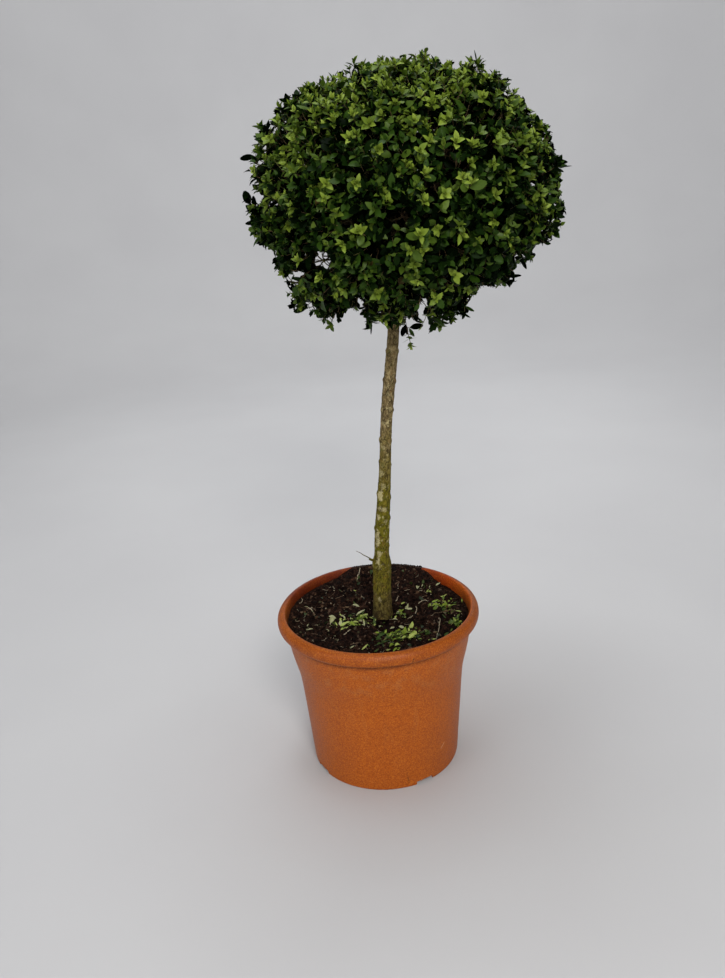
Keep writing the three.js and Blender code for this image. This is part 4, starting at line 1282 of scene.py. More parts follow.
levels = [np.array([e[0] for e in bough_ends])]
dirs = [np.array([e[1] for e in bough_ends])]
for nodes in (ring_of(118, 0.30), ring_of(60, 0.52), ring_of(31, 0.745), ring_of(17.2, 0, 9000, 40)):
    levels.append(nodes)
parents = [None]
for k in range(1, len(levels)):
    kids, folks, fd = levels[k], levels[k - 1], dirs[k - 1]
    gap = kids[:, None] - folks[None]
    far = np.linalg.norm(gap, axis=2)
    cosine = (unit(gap) * fd[None]).sum(2)
    cost = far + 0.35 * far * (1 - cosine)
    par = np.argmin(cost, 1)
    parents.append(par)
    d = unit(kids - folks[par])
    outward = unit(kids - FORK)
    dirs.append(unit(0.75 * d + 0.45 * outward + 0.12 * up + rng.normal(0, 0.12, d.shape)))

# each shoot grows from the branch end that it can reach most directly
ends_tree = KDTree(len(levels[-1]))
for i, q in enumerate(levels[-1]):
    ends_tree.insert(q, i)
ends_tree.balance()
shoot_from = np.empty(N, int)
for i in range(N):
    want = tip[i] - aim[i] * 18 - out_dir[i] * 16
    shoot_from[i] = min(ends_tree.find_n(want, 4), key=lambda f: f[2])[1]

# no shoot crosses open sky: it ends where it comes to a gap
p0 = levels[-1][shoot_from]
ln = np.linalg.norm(tip - p0, axis=1, keepdims=True)
s_m0 = unit(dirs[-1][shoot_from] + 0.5 * unit(tip - p0)) * ln * 0.8
s_m1 = aim * ln * 0.9
along = np.linspace(0.1, 1.0, 10)
on_way = hermite(p0, s_m0, tip, s_m1, along)
in_gap = (inside_any(seen_at(on_way.reshape(-1, 3)), SKY, 0.9) > 0.5) | hollow_round_fork(on_way.reshape(-1, 3))
in_gap = in_gap.reshape(N, -1)
reach = np.where(in_gap.any(1), along[np.argmax(in_gap, 1)] - 0.06, 2.0)

count = [None] * len(levels)
count[-1] = np.bincount(shoot_from, weights=(reach > 0.3).astype(float), minlength=len(levels[-1]))
for k in range(len(levels) - 1, 0, -1):
    count[k - 1] = np.bincount(parents[k], weights=count[k], minlength=len(levels[k - 1]))


def girth(n):
    return 0.40 * np.maximum(n, 0.7) ** 0.385


twig_parts = []
STEPS = {1: 14, 2: 12, 3: 9, 4: 6}
SIDES = {1: 10, 2: 8, 3: 6, 4: 5}
for k in range(1, len(levels)):
    used = count[k] > 0
    kids, par = levels[k][used], parents[k][used]
    b0, b1 = levels[k - 1][par], kids
    far = np.linalg.norm(b1 - b0, axis=1, keepdims=True)
    m0 = unit(dirs[k - 1][par] + 0.5 * unit(b1 - b0)) * far * 0.9
    m1 = dirs[k][used] * far * 0.9
    u = np.linspace(0, 1, STEPS[k])
    pts = hermite(b0, m0, b1, m1, u)
    bendy = (np.stack([fbm(pts.reshape(-1, 3) + 300 * a, 22, 2, 401 + a) for a in range(3)], -1) - 0.5).reshape(pts.shape)
    pts = pts + bendy * (9.0 / k ** 0.5) * (np.sin(math.pi * u) ** 0.7)[None, :, None]
    r1 = girth(count[k][used])
    r0 = np.minimum(r1 * 1.18, girth(count[k - 1][par]))
    rr = r0[:, None] * (1 - u) + r1[:, None] * 0.95 * u
    rr = rr * (1 + 0.12 * (rng.random(rr.shape) - 0.5))
    v, q = tubes(pts, rr, SIDES[k])
    twig_parts.append((v, q))

u = np.linspace(0, 1, 6)
pts = hermite(p0, s_m0, tip, s_m1, u[None] * np.minimum(reach, 1)[:, None])
rr = np.interp(u, [0, 0.5, 1], [0.52, 0.42, 0.30])[None] * rng.uniform(0.9, 1.15, (N, 1))
shoot_v, shoot_q = tubes(pts, rr, 4)


# -------------------------------------------------------------------- leaves
OUT_T = np.array([0, .05, .11, .2, .32, .46, .6, .74, .86, .94, 1.0])
OUT_W = np.array([0.0, .13, .38, .68, .91, 1.0, .98, .86, .63, .39, .12])      # grown leaves: oval
NEW_W = np.array([0.0, .16, .42, .72, .95, 1.0, .91, .70, .42, .20, .03])      # new leaves: pointed


def leaf_mesh(at, axis, face, length, width, bend, cup, cut, cols, stations, outline):
    """Leaves as small meshes in their own oval outline: (N,V,3)."""
    s = np.array({3: [-1, 0, 1], 5: [-1, -0.55, 0, 0.55, 1]}[cols], float)
    t = np.asarray(stations, float)[None] * cut[:, None]
    w = np.interp(t, OUT_T, outline) * width[:, None] / 2
    side = unit(np.cross(face, axis))
    face = unit(np.cross(axis, side))
    b = np.where(np.abs(bend) < 0.02, 0.02, bend)[:, None]
    th = b * t
    ax = length[:, None] * np.sin(th) / b
    dz = -length[:, None] * (1 - np.cos(th)) / b
    y = s[None, None] * w[..., None]
    zc = cup[:, None, None] * w[..., None] * np.abs(s) ** 1.6
    back = np.zeros(t.shape)
    back[:, -1] = 0.045 * length * (cut > 0.98)
    x = ax[..., None] + zc * np.sin(th)[..., None] - back[..., None] * (1 - np.abs(s))
    z = dz[..., None] + zc * np.cos(th)[..., None]
    v = (at[:, None, None] + axis[:, None, None] * x[..., None] + side[:, None, None] * y[..., None]
         + face[:, None, None] * z[..., None]).reshape(len(at), -1, 3)
    v = np.concatenate([at[:, None], v], 1)
    rows = len(stations)
    quads = grid(rows, cols, wrap=False) + 1
    c = np.arange(cols - 1)
    tris = np.stack([np.zeros(cols - 1, int), c + 1, c + 2], -1)
    return v, quads[:, ::-1], tris


class Leaves:
    """Collects leaves of one make, then joins them into pieces."""

    def __init__(self, name, cols, stations, outline):
        self.name, self.cols, self.stations, self.outline = name, cols, stations, outline
        self.rows = []

    def add(self, at, axis, face, length, width, bend, cup, cut, tone, loose=False):
        loose = np.full(len(at), float(loose))
        self.rows.append([np.asarray(q, float) for q in (at, axis, face, length, width, bend, cup, cut, tone, loose)])

    def sift(self):
        """Leave out the blades that would stand in open sky or in a bare hollow."""
        at, axis, face, length, width, bend, cup, cut, tone, loose = (np.concatenate(q) for q in zip(*self.rows))
        mid = at + axis * (length * 0.5)[:, None]
        see = seen_at(mid)
        edge = rng.uniform(0.25, 0.85, len(at))
        open_sky = inside_any(see, SKY, 1.0) > 0.3
        for part in (0.2, 0.5, 0.75, 1.0):
            for across in (-0.45, 0.45):
                q = at + axis * (length * part)[:, None] + np.cross(face, axis) * (width * across * (part < 1))[:, None]
                open_sky |= inside_any(seen_at(q), SKY, 0.85) > edge
        near = hollow_round_fork(mid)
        # the shaded hollows stay open to the inside
        in_front = ((mid - CROWN_AT) * (CAM_AT - mid)).sum(axis=1) > 0
        near |= (inside_any(see, SHADE, 0.85) > 0.5) & in_front & (rng.random(len(at)) < 0.85)
        ok = (~open_sky & ~near) | (loose > 0)
        self.kept = [q[ok] for q in (at, axis, face, length, width, bend, cup, cut, tone)]

    def build(self, mats, cap=190000):
        at, axis, face, length, width, bend, cup, cut, tone = self.kept
        v, quads, tris = leaf_mesh(at, axis, face, length, width, bend, cup, cut, self.cols, self.stations, self.outline)
        per = len(quads) * 2 + len(tris)
        n_pieces = max(1, math.ceil(len(at) * per / cap))
        turn = np.argsort(np.arctan2(at[:, 1] - CROWN_AT[1], at[:, 0] - CROWN_AT[0]), kind="stable")
        total = 0
        for k, idx in enumerate(np.array_split(turn, n_pieces)):
            m = len(idx)
            shift = (np.arange(m) * v.shape[1])[:, None, None]
            q = (quads[None] + shift).reshape(-1, 4)
            t = (tris[None] + shift).reshape(-1, 3)
            tn = tone[idx].astype(int)
            o = mesh_object(f"{self.name}_{k + 1}", v[idx].reshape(-1, 3), q, t, mats,
                            qmat=np.repeat(tn, len(quads)), tmat=np.repeat(tn, len(tris)))
            piece(o, "foliage", "crown")
            total += m * per
        return len(at), total


# plain colours, from the oldest leaves to the newest, then yellowed and brown ones; the first, near-black tones go to
# the inner pairs and paint the shade deep in the crown
TONES = [
    (0.0003, 0.0007, 0.0003), (0.0006, 0.0015, 0.0004), (0.0012, 0.0037, 0.0006), (0.0046, 0.0135, 0.0015),
    (0.0210, 0.0485, 0.0044), (0.0480, 0.0850, 0.0076),
    (0.079, 0.125, 0.0108), (0.116, 0.171, 0.0160), (0.160, 0.224, 0.0225), (0.212, 0.282, 0.036),
    (0.060, 0.044, 0.008), (0.050, 0.026, 0.008),
]
GLOSS = [0.50, 0.46, 0.44, 0.44, 0.45, 0.46, 0.48, 0.5, 0.5, 0.5, 0.55, 0.65]
leaf_mats = []
for i, (c, g) in enumerate(zip(TONES, GLOSS)):
    s = Surface(f"leaf_{i + 1}", base=(*c, 1), rough=g, specular=(0.0, 0.0, 0.01, 0.03, 0.09, 0.16, 0.20)[min(i, 6)])
    leaf_mats.append(s.m)

# how new each spray is: more new growth towards the top, most at the top right
new_noise = fbm(tips_on, 40, 2, 321)
new_noise = (new_noise - new_noise.mean()) / new_noise.std()
top = smooth(tips_on[:, 2], 790, 890)
newness = (0.16 + 0.34 * top + 0.10 * top * smooth(tips_on[:, 0], 40, 130) + 0.09 * new_noise
           - 0.02 * smooth(tips_on[:, 2], 760, 670) - 0.3 * sparse + 0.05)
newest = inside_any(seen_at(tips_on), NEWEST) * (out_dir[:, 1] < 0.3)
in_front = out_dir[:, 1] < 0.3
mood = inside_any(seen_at(tips_on), LUSH) * in_front - 1.0 * inside_any(seen_at(tips_on), QUIET) * in_front
newness = newness + 0.33 * newest + 0.14 * mood + 0.12 * smooth(tips_on[:, 0], 0, -70) * smooth(tips_on[:, 2], 860, 800)
fresh = (rng.random(N) < newness) | hero
lively = rng.random(N)              # how bright the spray is among its kind
lively = np.clip(lively + 0.3 * newest + 0.25 * mood, 0, 1)
lively[hero] = rng.uniform(0.65, 1.0, hero.sum())
# the lower part of the crown: its leaves are longer, and their tones a little lighter as painted light
lower_crown_lit_and_larger = smooth(tips_on[:, 2], 740, 660)

young = Leaves("young_leaves", 3, (0.14, 0.36, 0.62, 0.86, 1.0), NEW_W)
mature = Leaves("mature_leaves", 3, (0.10, 0.27, 0.50, 0.75, 0.92, 1.0), OUT_W)
inner = Leaves("inner_leaves", 3, (0.16, 0.48, 0.82, 1.0), OUT_W)

light_from = unit(np.array([0.35, -0.45, 0.9]))


def shoot_points(back):
    """Points and directions on each shoot, back millimetres (N,) from its tip."""
    u = np.clip(1 - back / (ln[:, 0] * 1.04), 0.02, 1.0)
    p = hermite(p0, s_m0, tip, s_m1, u[:, None])[:, 0]
    d = hermite_dir(p0, s_m0, tip, s_m1, u[:, None])[:, 0]
    return p, d, u < reach


def whorl(p, d, phi):
    ref = np.where(np.abs(d[:, 2:3]) > 0.9, np.array([[1.0, 0, 0]]), np.array([[0, 0, 1.0]]))
    a = unit(np.cross(d, ref))
    b = np.cross(d, a)
    return np.cos(phi)[:, None] * a + np.sin(phi)[:, None] * b


phase = rng.uniform(0, TAU, N)
# the rosette at each tip
for k in range(8):
    pair, other = divmod(k, 2)
    use = np.ones(N, bool)
    if pair == 2:
        use = fresh | (rng.random(N) < 0.6)
    if pair == 3:
        use = fresh & ((rng.random(N) < 0.85) | hero)
    back = np.full(N, (4.6, 2.4, 0.9, 0.1)[pair]) * np.where(fresh, 1.1, 0.9)
    p, d, there = shoot_points(back)
    use = use & there
    phi = phase + pair * (math.pi / 2) + other * math.pi + rng.normal(0, 0.2, N) + (pair > 1) * 0.6
    r = whorl(p, d, phi)
    open_by = np.radians(np.where(fresh, (60, 49, 35, 18)[pair], (58, 46, 32, 18)[pair]) + rng.normal(0, 11, N))
    axis = unit(d * np.cos(open_by)[:, None] + r * np.sin(open_by)[:, None])
    face = unit(d * np.sin(open_by)[:, None] - r * np.cos(open_by)[:, None])
    roll = rng.normal(0, 0.28, N)
    face = unit(face + np.cross(axis, face) * roll[:, None] + 0.15 * light_from)
    length = np.where(fresh, (9.6, 8.9, 7.6, 5.6)[pair], (11.4, 9.9, 7.8, 5.6)[pair]) * np.exp(rng.normal(0, 0.15, N))
    length = length * np.where(hero, 1.08, 1.0)
    width = length * np.where(fresh, np.where(hero, 0.57, 0.50), 0.54) * np.exp(rng.normal(0, 0.10, N))
    bend = rng.normal(np.where(fresh, 0.32, 0.25) * (1, 0.7, 0.1, -0.4)[pair], 0.26, N)
    cup = rng.normal(np.where(fresh, 0.50, 0.30), 0.14, N)
    cut = np.where(rng.random(N) < 0.05, rng.uniform(0.5, 0.85, N), 1.0)
    bright = np.clip(5.1 + 2.6 * lively + (-0.4, 0.0, 0.5, 1.1)[pair] + rng.normal(0, 0.7, N) + 0.6 * hero, 4, 9)
    # lower leaves get slightly lighter tones: painted light
    dull = np.clip(1.35 + 3.2 * lively + (-0.2, 0.1, 0.6, 1.0)[pair] + rng.normal(0, 0.8, N) + 0.1 * lower_crown_lit_and_larger, 0, 6)
    tone = np.round(np.where(fresh, bright, dull))
    young.add(*(q[use] for q in (p, axis, face, length, width, bend, cup, cut, tone)))

# older pairs further down each shoot, in darker tones: older leaves are darker, and the near-black ones are painted
# shade
STEP = 7.4
for j in range(4):
    back = 9.5 + STEP * j + rng.normal(0, 0.9, N)
    keep_share = (0.92, 0.74, 0.56, 0.42)[j]
    for other in (0, 1):
        use = rng.random(N) < keep_share
        use &= (back < ln[:, 0] * 0.92)
        p, d, there = shoot_points(back)
        use &= there
        phi = phase + (j + 1) * (math.pi / 2) + other * math.pi + rng.normal(0, 0.25, N)
        r = whorl(p, d, phi)
        open_by = np.radians((58, 64, 68, 72)[j] + rng.normal(0, 12, N))
        axis = unit(d * np.cos(open_by)[:, None] + r * np.sin(open_by)[:, None] + np.array([0, 0, -0.10]))
        face = unit(d * np.sin(open_by)[:, None] - r * np.cos(open_by)[:, None])
        toward = unit(out_dir + 0.8 * up)
        roll = rng.normal(0, 0.35, N)
        face = unit(face + np.cross(axis, face) * roll[:, None] + 0.40 * toward)
        length = (rng.normal((12.6, 14.2, 14.8, 14.6)[j], 2.9, N) + 2.0 * lower_crown_lit_and_larger).clip(8, 23)
        width = length * rng.normal(0.54, 0.05, N)
        bend = rng.normal(0.42, 0.30, N)
        cup = rng.normal(-0.02, 0.26, N)
        cut = np.where(rng.random(N) < (0.07, 0.05, 0.02, 0.0)[j], rng.uniform(0.45, 0.85, N), 1.0)
        # lower leaves get slightly lighter tones: painted light
        base = np.where(fresh, (4.2, 1.9, 0.6, 0.0)[j], (3.0, 1.2, 0.2, 0.0)[j]) + 0.15 * lower_crown_lit_and_larger
        tone = np.clip(np.round(base + 1.6 * (lively - 0.5) + rng.normal(0, 0.95, N)), 0, 5)
        odd = rng.random(N)
        tone = np.where(odd < 0.002, 10, np.where(odd > 0.999, 11, tone))
        (mature if j < 2 else inner).add(*(q[use] for q in (p, axis, face, length, width, bend, cup, cut, tone)))


# ------------------------------------------------- single sprays at the edges
def loose_spray(path, pairs, tip_tone, leaf_tone, size=15.0, tip_size=10.0, rosette=4, every=8.0, start=7.0):
    """A thin shoot along path with leaves in pairs and a rosette at its end."""
    path = np.array(path, float)
    d = np.concatenate([[0], np.cumsum(np.linalg.norm(np.diff(path, axis=0), axis=1))])
    m = 10
    t = np.linspace(0, d[-1], m)
    line = np.stack([np.interp(t, d, path[:, i]) for i in range(3)], -1)
    if len(path) > 2:
        core = np.stack([np.convolve(np.pad(line[:, i], 2, "edge"), np.ones(5) / 5, "valid") for i in range(3)], -1)
        line[1:-1] = core[1:-1]
    v, q = tubes(line[None], np.interp(np.linspace(0, 1, m), [0, 1], [0.65, 0.4])[None], 5)
    twig_parts.append((v, q))
    dr = unit(np.gradient(line, axis=0))
    ph = rng.uniform(0, TAU)
    for j in range(pairs):
        back = start + every * j
        u = max(0.0, 1 - back / d[-1]) * (m - 1)
        i = int(min(m - 2, u))
        p = lerp(line[i], line[i + 1], u - i)[None]
        dd = dr[i][None]
        for other in (0, 1):
            r = whorl(p, dd, np.array([ph + j * math.pi / 2 + other * math.pi]))
            a = math.radians(60 + rng.normal(0, 10))
            axis = unit(dd * math.cos(a) + r * math.sin(a))
            face = unit(dd * math.sin(a) - r * math.cos(a) + 0.3 * up)
            L = np.array([size * rng.uniform(0.85, 1.1)])
            mature.add(p, axis, face, L, L * 0.56, np.array([rng.normal(0.4, 0.2)]), np.array([rng.normal(0, 0.2)]),
                       np.ones(1), np.array([leaf_tone + rng.integers(0, 2)]), loose=True)
    for k in range(rosette):
        pair, other = divmod(k, 2)
        p = line[-1][None] - dr[-1][None] * (2.0, 0.8, 0.1)[pair]
        dd = dr[-1][None]
        r = whorl(p, dd, np.array([ph + 0.8 + pair * math.pi / 2 + other * math.pi]))
        a = math.radians((62, 42, 25)[pair] + rng.normal(0, 8))
        axis = unit(dd * math.cos(a) + r * math.sin(a))
        face = unit(dd * math.sin(a) - r * math.cos(a))
        L = np.array([tip_size * (1, 0.85, 0.6)[pair] * rng.uniform(0.9, 1.1)])
        young.add(p, axis, face, L, L * 0.52, np.array([0.2]), np.array([0.35]), np.ones(1), np.array([min(9, tip_tone + pair)]), loose=True)


def single_leaf(base, end, face, width, tone, bend=0.3, cup=-0.1, stalk=None):
    base, end = np.array(base, float), np.array(end, float)
    axis = unit(end - base)
    L = np.array([np.linalg.norm(end - base)])
    mature.add(base[None], axis[None], np.array(face, float)[None], L, np.array([width]), np.array([bend]), np.array([cup]),
               np.ones(1), np.array([tone]), loose=True)
    if stalk is not None:
        s = np.array(stalk, float)
        line = lerp(s[None], base[None], np.linspace(0, 1, 6)[:, None]) + np.array([0, 0, -1.0]) * (np.sin(np.linspace(0, math.pi, 6)) * 1.5)[:, None]
        v, q = tubes(line[None], np.interp(np.linspace(0, 1, 6), [0, 1], [0.6, 0.4])[None], 5)
        twig_parts.append((v, q))


# under the crown, right of the stem: dark leaves, then a yellow-green tip
loose_spray([(60, 6, 648), (57, 2, 630), (55, -1, 612), at_depth(409, 334, -2), at_depth(411, 346, -6)], 4, 8, 6, size=9.5,
            tip_size=9.5, rosette=6, every=4, start=4)
single_leaf((61, -1, 606.5), (78, -3, 610), (0.1, -0.8, 0.6), 8.6, 2, stalk=(55, -1, 611))
single_leaf((56, -1, 610), (50, -3, 597), (-0.4, -0.8, 0.3), 7.5, 1)
# left of it a leaf that hangs straight down
loose_spray([(31, 8, 660), (22, 2, 642), (15, 0, 626)], 1, 3, 2, size=12, tip_size=7, rosette=2, start=5)
single_leaf((14.5, 0, 621), (16, -2, 601), (0.9, -0.4, 0.1), 6.0, 1)
single_leaf(at_depth(331, 306, 0), at_depth(334, 319, -2), (0.3, -0.8, 0.2), 7.5, 3)
single_leaf(at_depth(405, 324, -2), at_depth(408, 335, -3), (0.3, -0.9, 0.2), 5.0, 1)
single_leaf(at_depth(409, 328, -2), at_depth(414, 337, -3), (-0.3, -0.9, 0.3), 4.6, 4)
single_leaf(at_depth(434, 316, 0), at_depth(429, 325, -2), (0.2, -0.8, 0.4), 6.5, 3)
single_leaf(at_depth(440, 318, 0), at_depth(440, 331, -2), (0.1, -0.8, 0.3), 7.0, 4)
single_leaf(at_depth(451, 312, 0), at_depth(452, 325, -2), (0.3, -0.8, 0.3), 6.5, 3)
# left edge
single_leaf((-108, 0, 816), (-125.5, -2, 816), (0.1, -0.75, 0.65), 9.4, 1, stalk=(-92, 4, 806))
loose_spray([(-84, 6, 742), (-100, 2, 750), (-112, 0, 756)], 2, 5, 3, size=14, tip_size=9)
single_leaf((-119, 0, 763), (-124.5, -2, 779), (-0.2, -0.95, 0.2), 10.5, 2, stalk=(-112, 0, 755))
single_leaf((-114, 0, 757), (-113, -2, 773), (0.5, -0.8, 0.2), 6.5, 1)
single_leaf((-112, 0, 743), (-127, -2, 744), (0.0, -0.6, 0.8), 8.0, 1, stalk=(-98, 5, 742))
# lower left
loose_spray([(-36, 8, 662), (-52, 3, 648), (-62, 0, 642)], 2, 3, 2, size=14, tip_size=9)
single_leaf((-63, 0, 641), (-80, -2, 637), (0.1, -0.6, 0.8), 8.0, 1)
loose_spray([(-70, 4, 668), (-78, 0, 655), (-75, -2, 642)], 0, 3, 2, tip_size=8, rosette=2)
loose_spray([at_depth(344, 300, 4), at_depth(337, 312, 0), at_depth(331, 320, -3), at_depth(331, 324, -8), at_depth(330.5, 325.5, -17)], 1, 5, 4,
            size=10, tip_size=10, rosette=6, every=6, start=11)
single_leaf(at_depth(338, 306, 0), at_depth(343, 318, -3), (0.3, -0.8, 0.3), 9.0, 2)
single_leaf(at_depth(322, 304, 2), at_depth(317, 318, -3), (-0.2, -0.9, 0.3), 9.5, 2)
single_leaf(at_depth(328, 303, 2), at_depth(327, 319, -3), (0.2, -0.9, 0.3), 9.5, 3)
loose_spray([at_depth(433, 296, 4), at_depth(438, 310, 0), at_depth(440, 320, -4), at_depth(440, 326, -9)], 3, 5, 4, size=12, tip_size=10, rosette=6, every=6.5)
loose_spray([at_depth(450, 292, 4), at_depth(452, 305, 0), at_depth(453, 316, -4)], 3, 5, 4, size=12, tip_size=9, rosette=4, every=6.5)
loose_spray([at_depth(312, 292, 4), at_depth(304, 302, 0), at_depth(299, 307, -4)], 1, 4, 3, size=10, tip_size=9, rosette=4, start=8)
single_leaf(at_depth(307, 307, -2), at_depth(294, 312, -4), (0.1, -0.8, 0.5), 7.0, 3, stalk=at_depth(315, 305, 2))
loose_spray([at_depth(303, 291, 4), at_depth(294, 284, 0), at_depth(287, 275, -3)], 1, 3, 3, size=9, tip_size=7.5, rosette=4, start=9)
loose_spray([at_depth(301, 284, 4), at_depth(296, 292, 0), at_depth(289, 294, -3)], 1, 4, 3, size=9, tip_size=7.5, rosette=4, start=8)
single_leaf(at_depth(303, 290, 0), at_depth(303, 305, -3), (0.2, -0.8, 0.4), 9.0, 4)
single_leaf(at_depth(312, 294, 0), at_depth(318, 309, -3), (-0.2, -0.8, 0.4), 9.5, 4)
loose_spray([at_depth(436, 290, 6), at_depth(434, 304, 2), at_depth(431, 316, -2)], 3, 5, 4, size=10.5, tip_size=9, rosette=4, every=6)
loose_spray([at_depth(440, 292, 8), at_depth(438, 308, 3), at_depth(437, 321, -1)], 3, 5, 4, size=12, tip_size=9, rosette=6, every=6.5)
loose_spray([at_depth(446, 290, 8), at_depth(446, 302, 3), at_depth(447, 314, -1)], 3, 6, 4, size=12, tip_size=9, rosette=4, every=6.5)
loose_spray([at_depth(291, 132, 0), at_depth(283, 125, 0), at_depth(279, 119, 0)], 2, 4, 4, size=10, tip_size=8, rosette=4, every=6, start=5)
# tufts that stand up from the top
loose_spray([at_depth(425, 82, 0), at_depth(425, 66, -1), at_depth(424, 57, -1)], 3, 5, 4, size=10, tip_size=8.5, rosette=4, every=5, start=4)
loose_spray([at_depth(431, 80, 2), at_depth(431, 70, 1), at_depth(431, 66, 1)], 1, 6, 5, size=9, tip_size=7, rosette=4)
loose_spray([at_depth(487, 90, 0), at_depth(491, 80, 0), at_depth(494, 74, 0)], 0, 5, 5, tip_size=9, rosette=4)
loose_spray([at_depth(351, 84, 0), at_depth(351, 75, 0), at_depth(349, 68, -1)], 1, 5, 5, size=10, tip_size=8, rosette=4)
# right
loose_spray([(176, 6, 704), (190, 2, 690), (202, 0, 680)], 2, 3, 2, size=13.5, tip_size=10, rosette=4)
single_leaf((203, 0, 680), (216, -2, 686), (0, -0.8, 0.6), 8.5, 1)
single_leaf((196, 0, 686), (207, -2, 668), (0.4, -0.9, 0.1), 6.0, 1)
single_leaf((235, 0, 727), (251, -2, 738), (0.1, -0.8, 0.6), 8.6, 2, stalk=(222, 4, 722))
single_leaf((222, 0, 708), (232, -2, 695), (0.4, -0.9, 0.2), 7.0, 1, stalk=(212, 4, 716))
loose_spray([(84, 4, 640), (88, 0, 624), (94, -2, 610)], 2, 7, 4, size=13, tip_size=11, rosette=6)
loose_spray([(104, 4, 646), (110, 0, 628), (114, -2, 614)], 2, 6, 4, size=13, tip_size=10, rosette=4)
# small tufts on the left and right shoulders, and below on the left
loose_spray([at_depth(327, 91, 2), at_depth(328, 85, 0), at_depth(328, 80, -1)], 1, 6, 5, size=9, tip_size=8, rosette=6, start=6)
loose_spray([at_depth(346, 86, 2), at_depth(346, 79, 0), at_depth(346, 73, -1)], 1, 6, 5, size=8, tip_size=7.5, rosette=4, start=6)
loose_spray([at_depth(506, 105, 2), at_depth(507, 98, 0), at_depth(508, 93, -1)], 1, 6, 5, size=9, tip_size=8, rosette=6, start=6)
loose_spray([at_depth(325, 302, 2), at_depth(324, 312, 0), at_depth(323, 320, -3)], 1, 4, 4, size=8, tip_size=7, rosette=4, start=6)


def close_gaps():
    """Near-black leaves on the shoots at the back, wherever the crown could be seen through but isn't open: painted
    shade inside the crown.
    """
    polys, pts = [], []
    for make in (young, mature, inner):
        at, axis, face, length, width = make.kept[:5]
        side = np.cross(face, axis) * (width / 2)[:, None]
        ax = axis * length[:, None]
        hexes = np.stack([at, at + ax * 0.3 + side * 0.8, at + ax * 0.7 + side * 0.8, at + ax * 0.97,
                          at + ax * 0.7 - side * 0.8, at + ax * 0.3 - side * 0.8], 1)
        polys += (np.arange(len(at) * 6).reshape(-1, 6) + len(pts) * 6).tolist()
        pts += list(hexes)
    flat = np.array(pts).reshape(-1, 3)
    cover = BVHTree.FromPolygons(flat.tolist(), polys)
    cam = Vector(CAM_AT)
    see_through = []
    for v in np.arange(52, 334, 1.5):
        for u in np.arange(240, 575, 1.5):
            d = Vector(sight(u, v))
            near = crown_tree.ray_cast(cam, d)
            if near[0] is None or cover.ray_cast(cam, d)[0] is not None:
                continue
            far = crown_tree.ray_cast(cam + d * 1700, -d)
            if far[0] is not None and (far[0] - near[0]).length > 150:
                see_through.append((u, v))
    see_through = np.array(see_through)
    see_through = see_through[inside_any(see_through, SKY, 1.2) < 0.05]
    share = np.linspace(0.25, 0.85, 5)
    hold = hermite(p0, s_m0, tip, s_m1, share)
    ok = (share[None] < reach[:, None]) & (hold[..., 1] > 5)
    hold = hold[ok]
    hold_px = seen_at(hold)
    rows = []
    todo = np.ones(len(see_through), bool)
    for i, (u, v) in enumerate(see_through):
        if not todo[i]:
            continue
        gap = np.hypot(hold_px[:, 0] - u, hold_px[:, 1] - v)
        j = int(np.argmin(np.where(gap > 3, gap, 50)))
        if gap[j] > 16:
            continue
        d = sight(u, v)
        goal = CAM_AT + d * ((hold[j, 1] - CAM_AT[1]) / d[1])
        way = goal - hold[j]
        size = np.linalg.norm(way)
        L = min(19.0, max(11.0, size + rng.uniform(5, 7)))
        rows.append((hold[j], unit(way), unit(-d + rng.normal(0, 0.2, 3)), L, L * rng.uniform(0.58, 0.68)))
        todo[np.hypot(see_through[:, 0] - u, see_through[:, 1] - v) < 3.2] = False
    if rows:
        at, axis, face, length, width = (np.array(q) for q in zip(*rows))
        face = unit(face - axis * dots(face, axis))
        n = len(at)
        extra = [at, axis, face, length, width, rng.normal(0.15, 0.1, n), rng.normal(0.1, 0.1, n), np.ones(n),
                 rng.integers(0, 2, n).astype(float)]
        inner.kept = [np.concatenate([a, b]) for a, b in zip(inner.kept, extra)]
    return len(rows)


for make in (young, mature, inner):
    make.sift()
close_gaps()
for make in (young, mature, inner):
    make.build(leaf_mats)

qn = shoot_q.reshape(N, -1, 4)
twig_parts.append((shoot_v, qn[reach > 0.3].reshape(-1, 4)))


def make_twigs():
    # the dead twig at the knot
    line = np.array([(-3.6, 0.6, 297.2), (-9.5, 0.4, 301.2), (-14.6, -0.2, 304.6), (-18.0, -0.4, 307.8), (-24.2, 0, 311.1)])
    v, q = tubes(line[None], np.array([[0.7, 0.62, 0.6, 0.45, 0.25]]), 6)
    groups = twig_parts + [(v, q)]
    verts, quads, at, used = [], [], 0, []
    for v, q in groups:
        verts.append(v)
        quads.append(q + at)
        at += len(v)
    verts, quads = np.concatenate(verts), np.concatenate(quads)
    keep = np.zeros(len(verts), bool)
    keep[quads.ravel()] = True
    new = np.cumsum(keep) - 1
    return verts[keep], new[quads]


tv, tq = make_twigs()
s = Surface("twig_bark", rough=0.7, specular=0.3)
w = s.coords()
col = s.ramp(s.noise(w, 240, 4, 0.6), [(0.34, srgb(42, 31, 20)), (0.50, srgb(76, 60, 38)), (0.68, srgb(118, 98, 64))])
col = s.mix(s.span(s.noise(w, 60, 3, 0.5), 0.50, 0.62, 0.0, 0.55), col, srgb(88, 92, 44))
s.colour(col)
s.bump(s.noise(w, 1100, 3, 0.6), 0.0002, 0.7)
twigs = mesh_object("twigs", tv, tq, mats=[s.m])
piece(twigs, "bark", "crown")


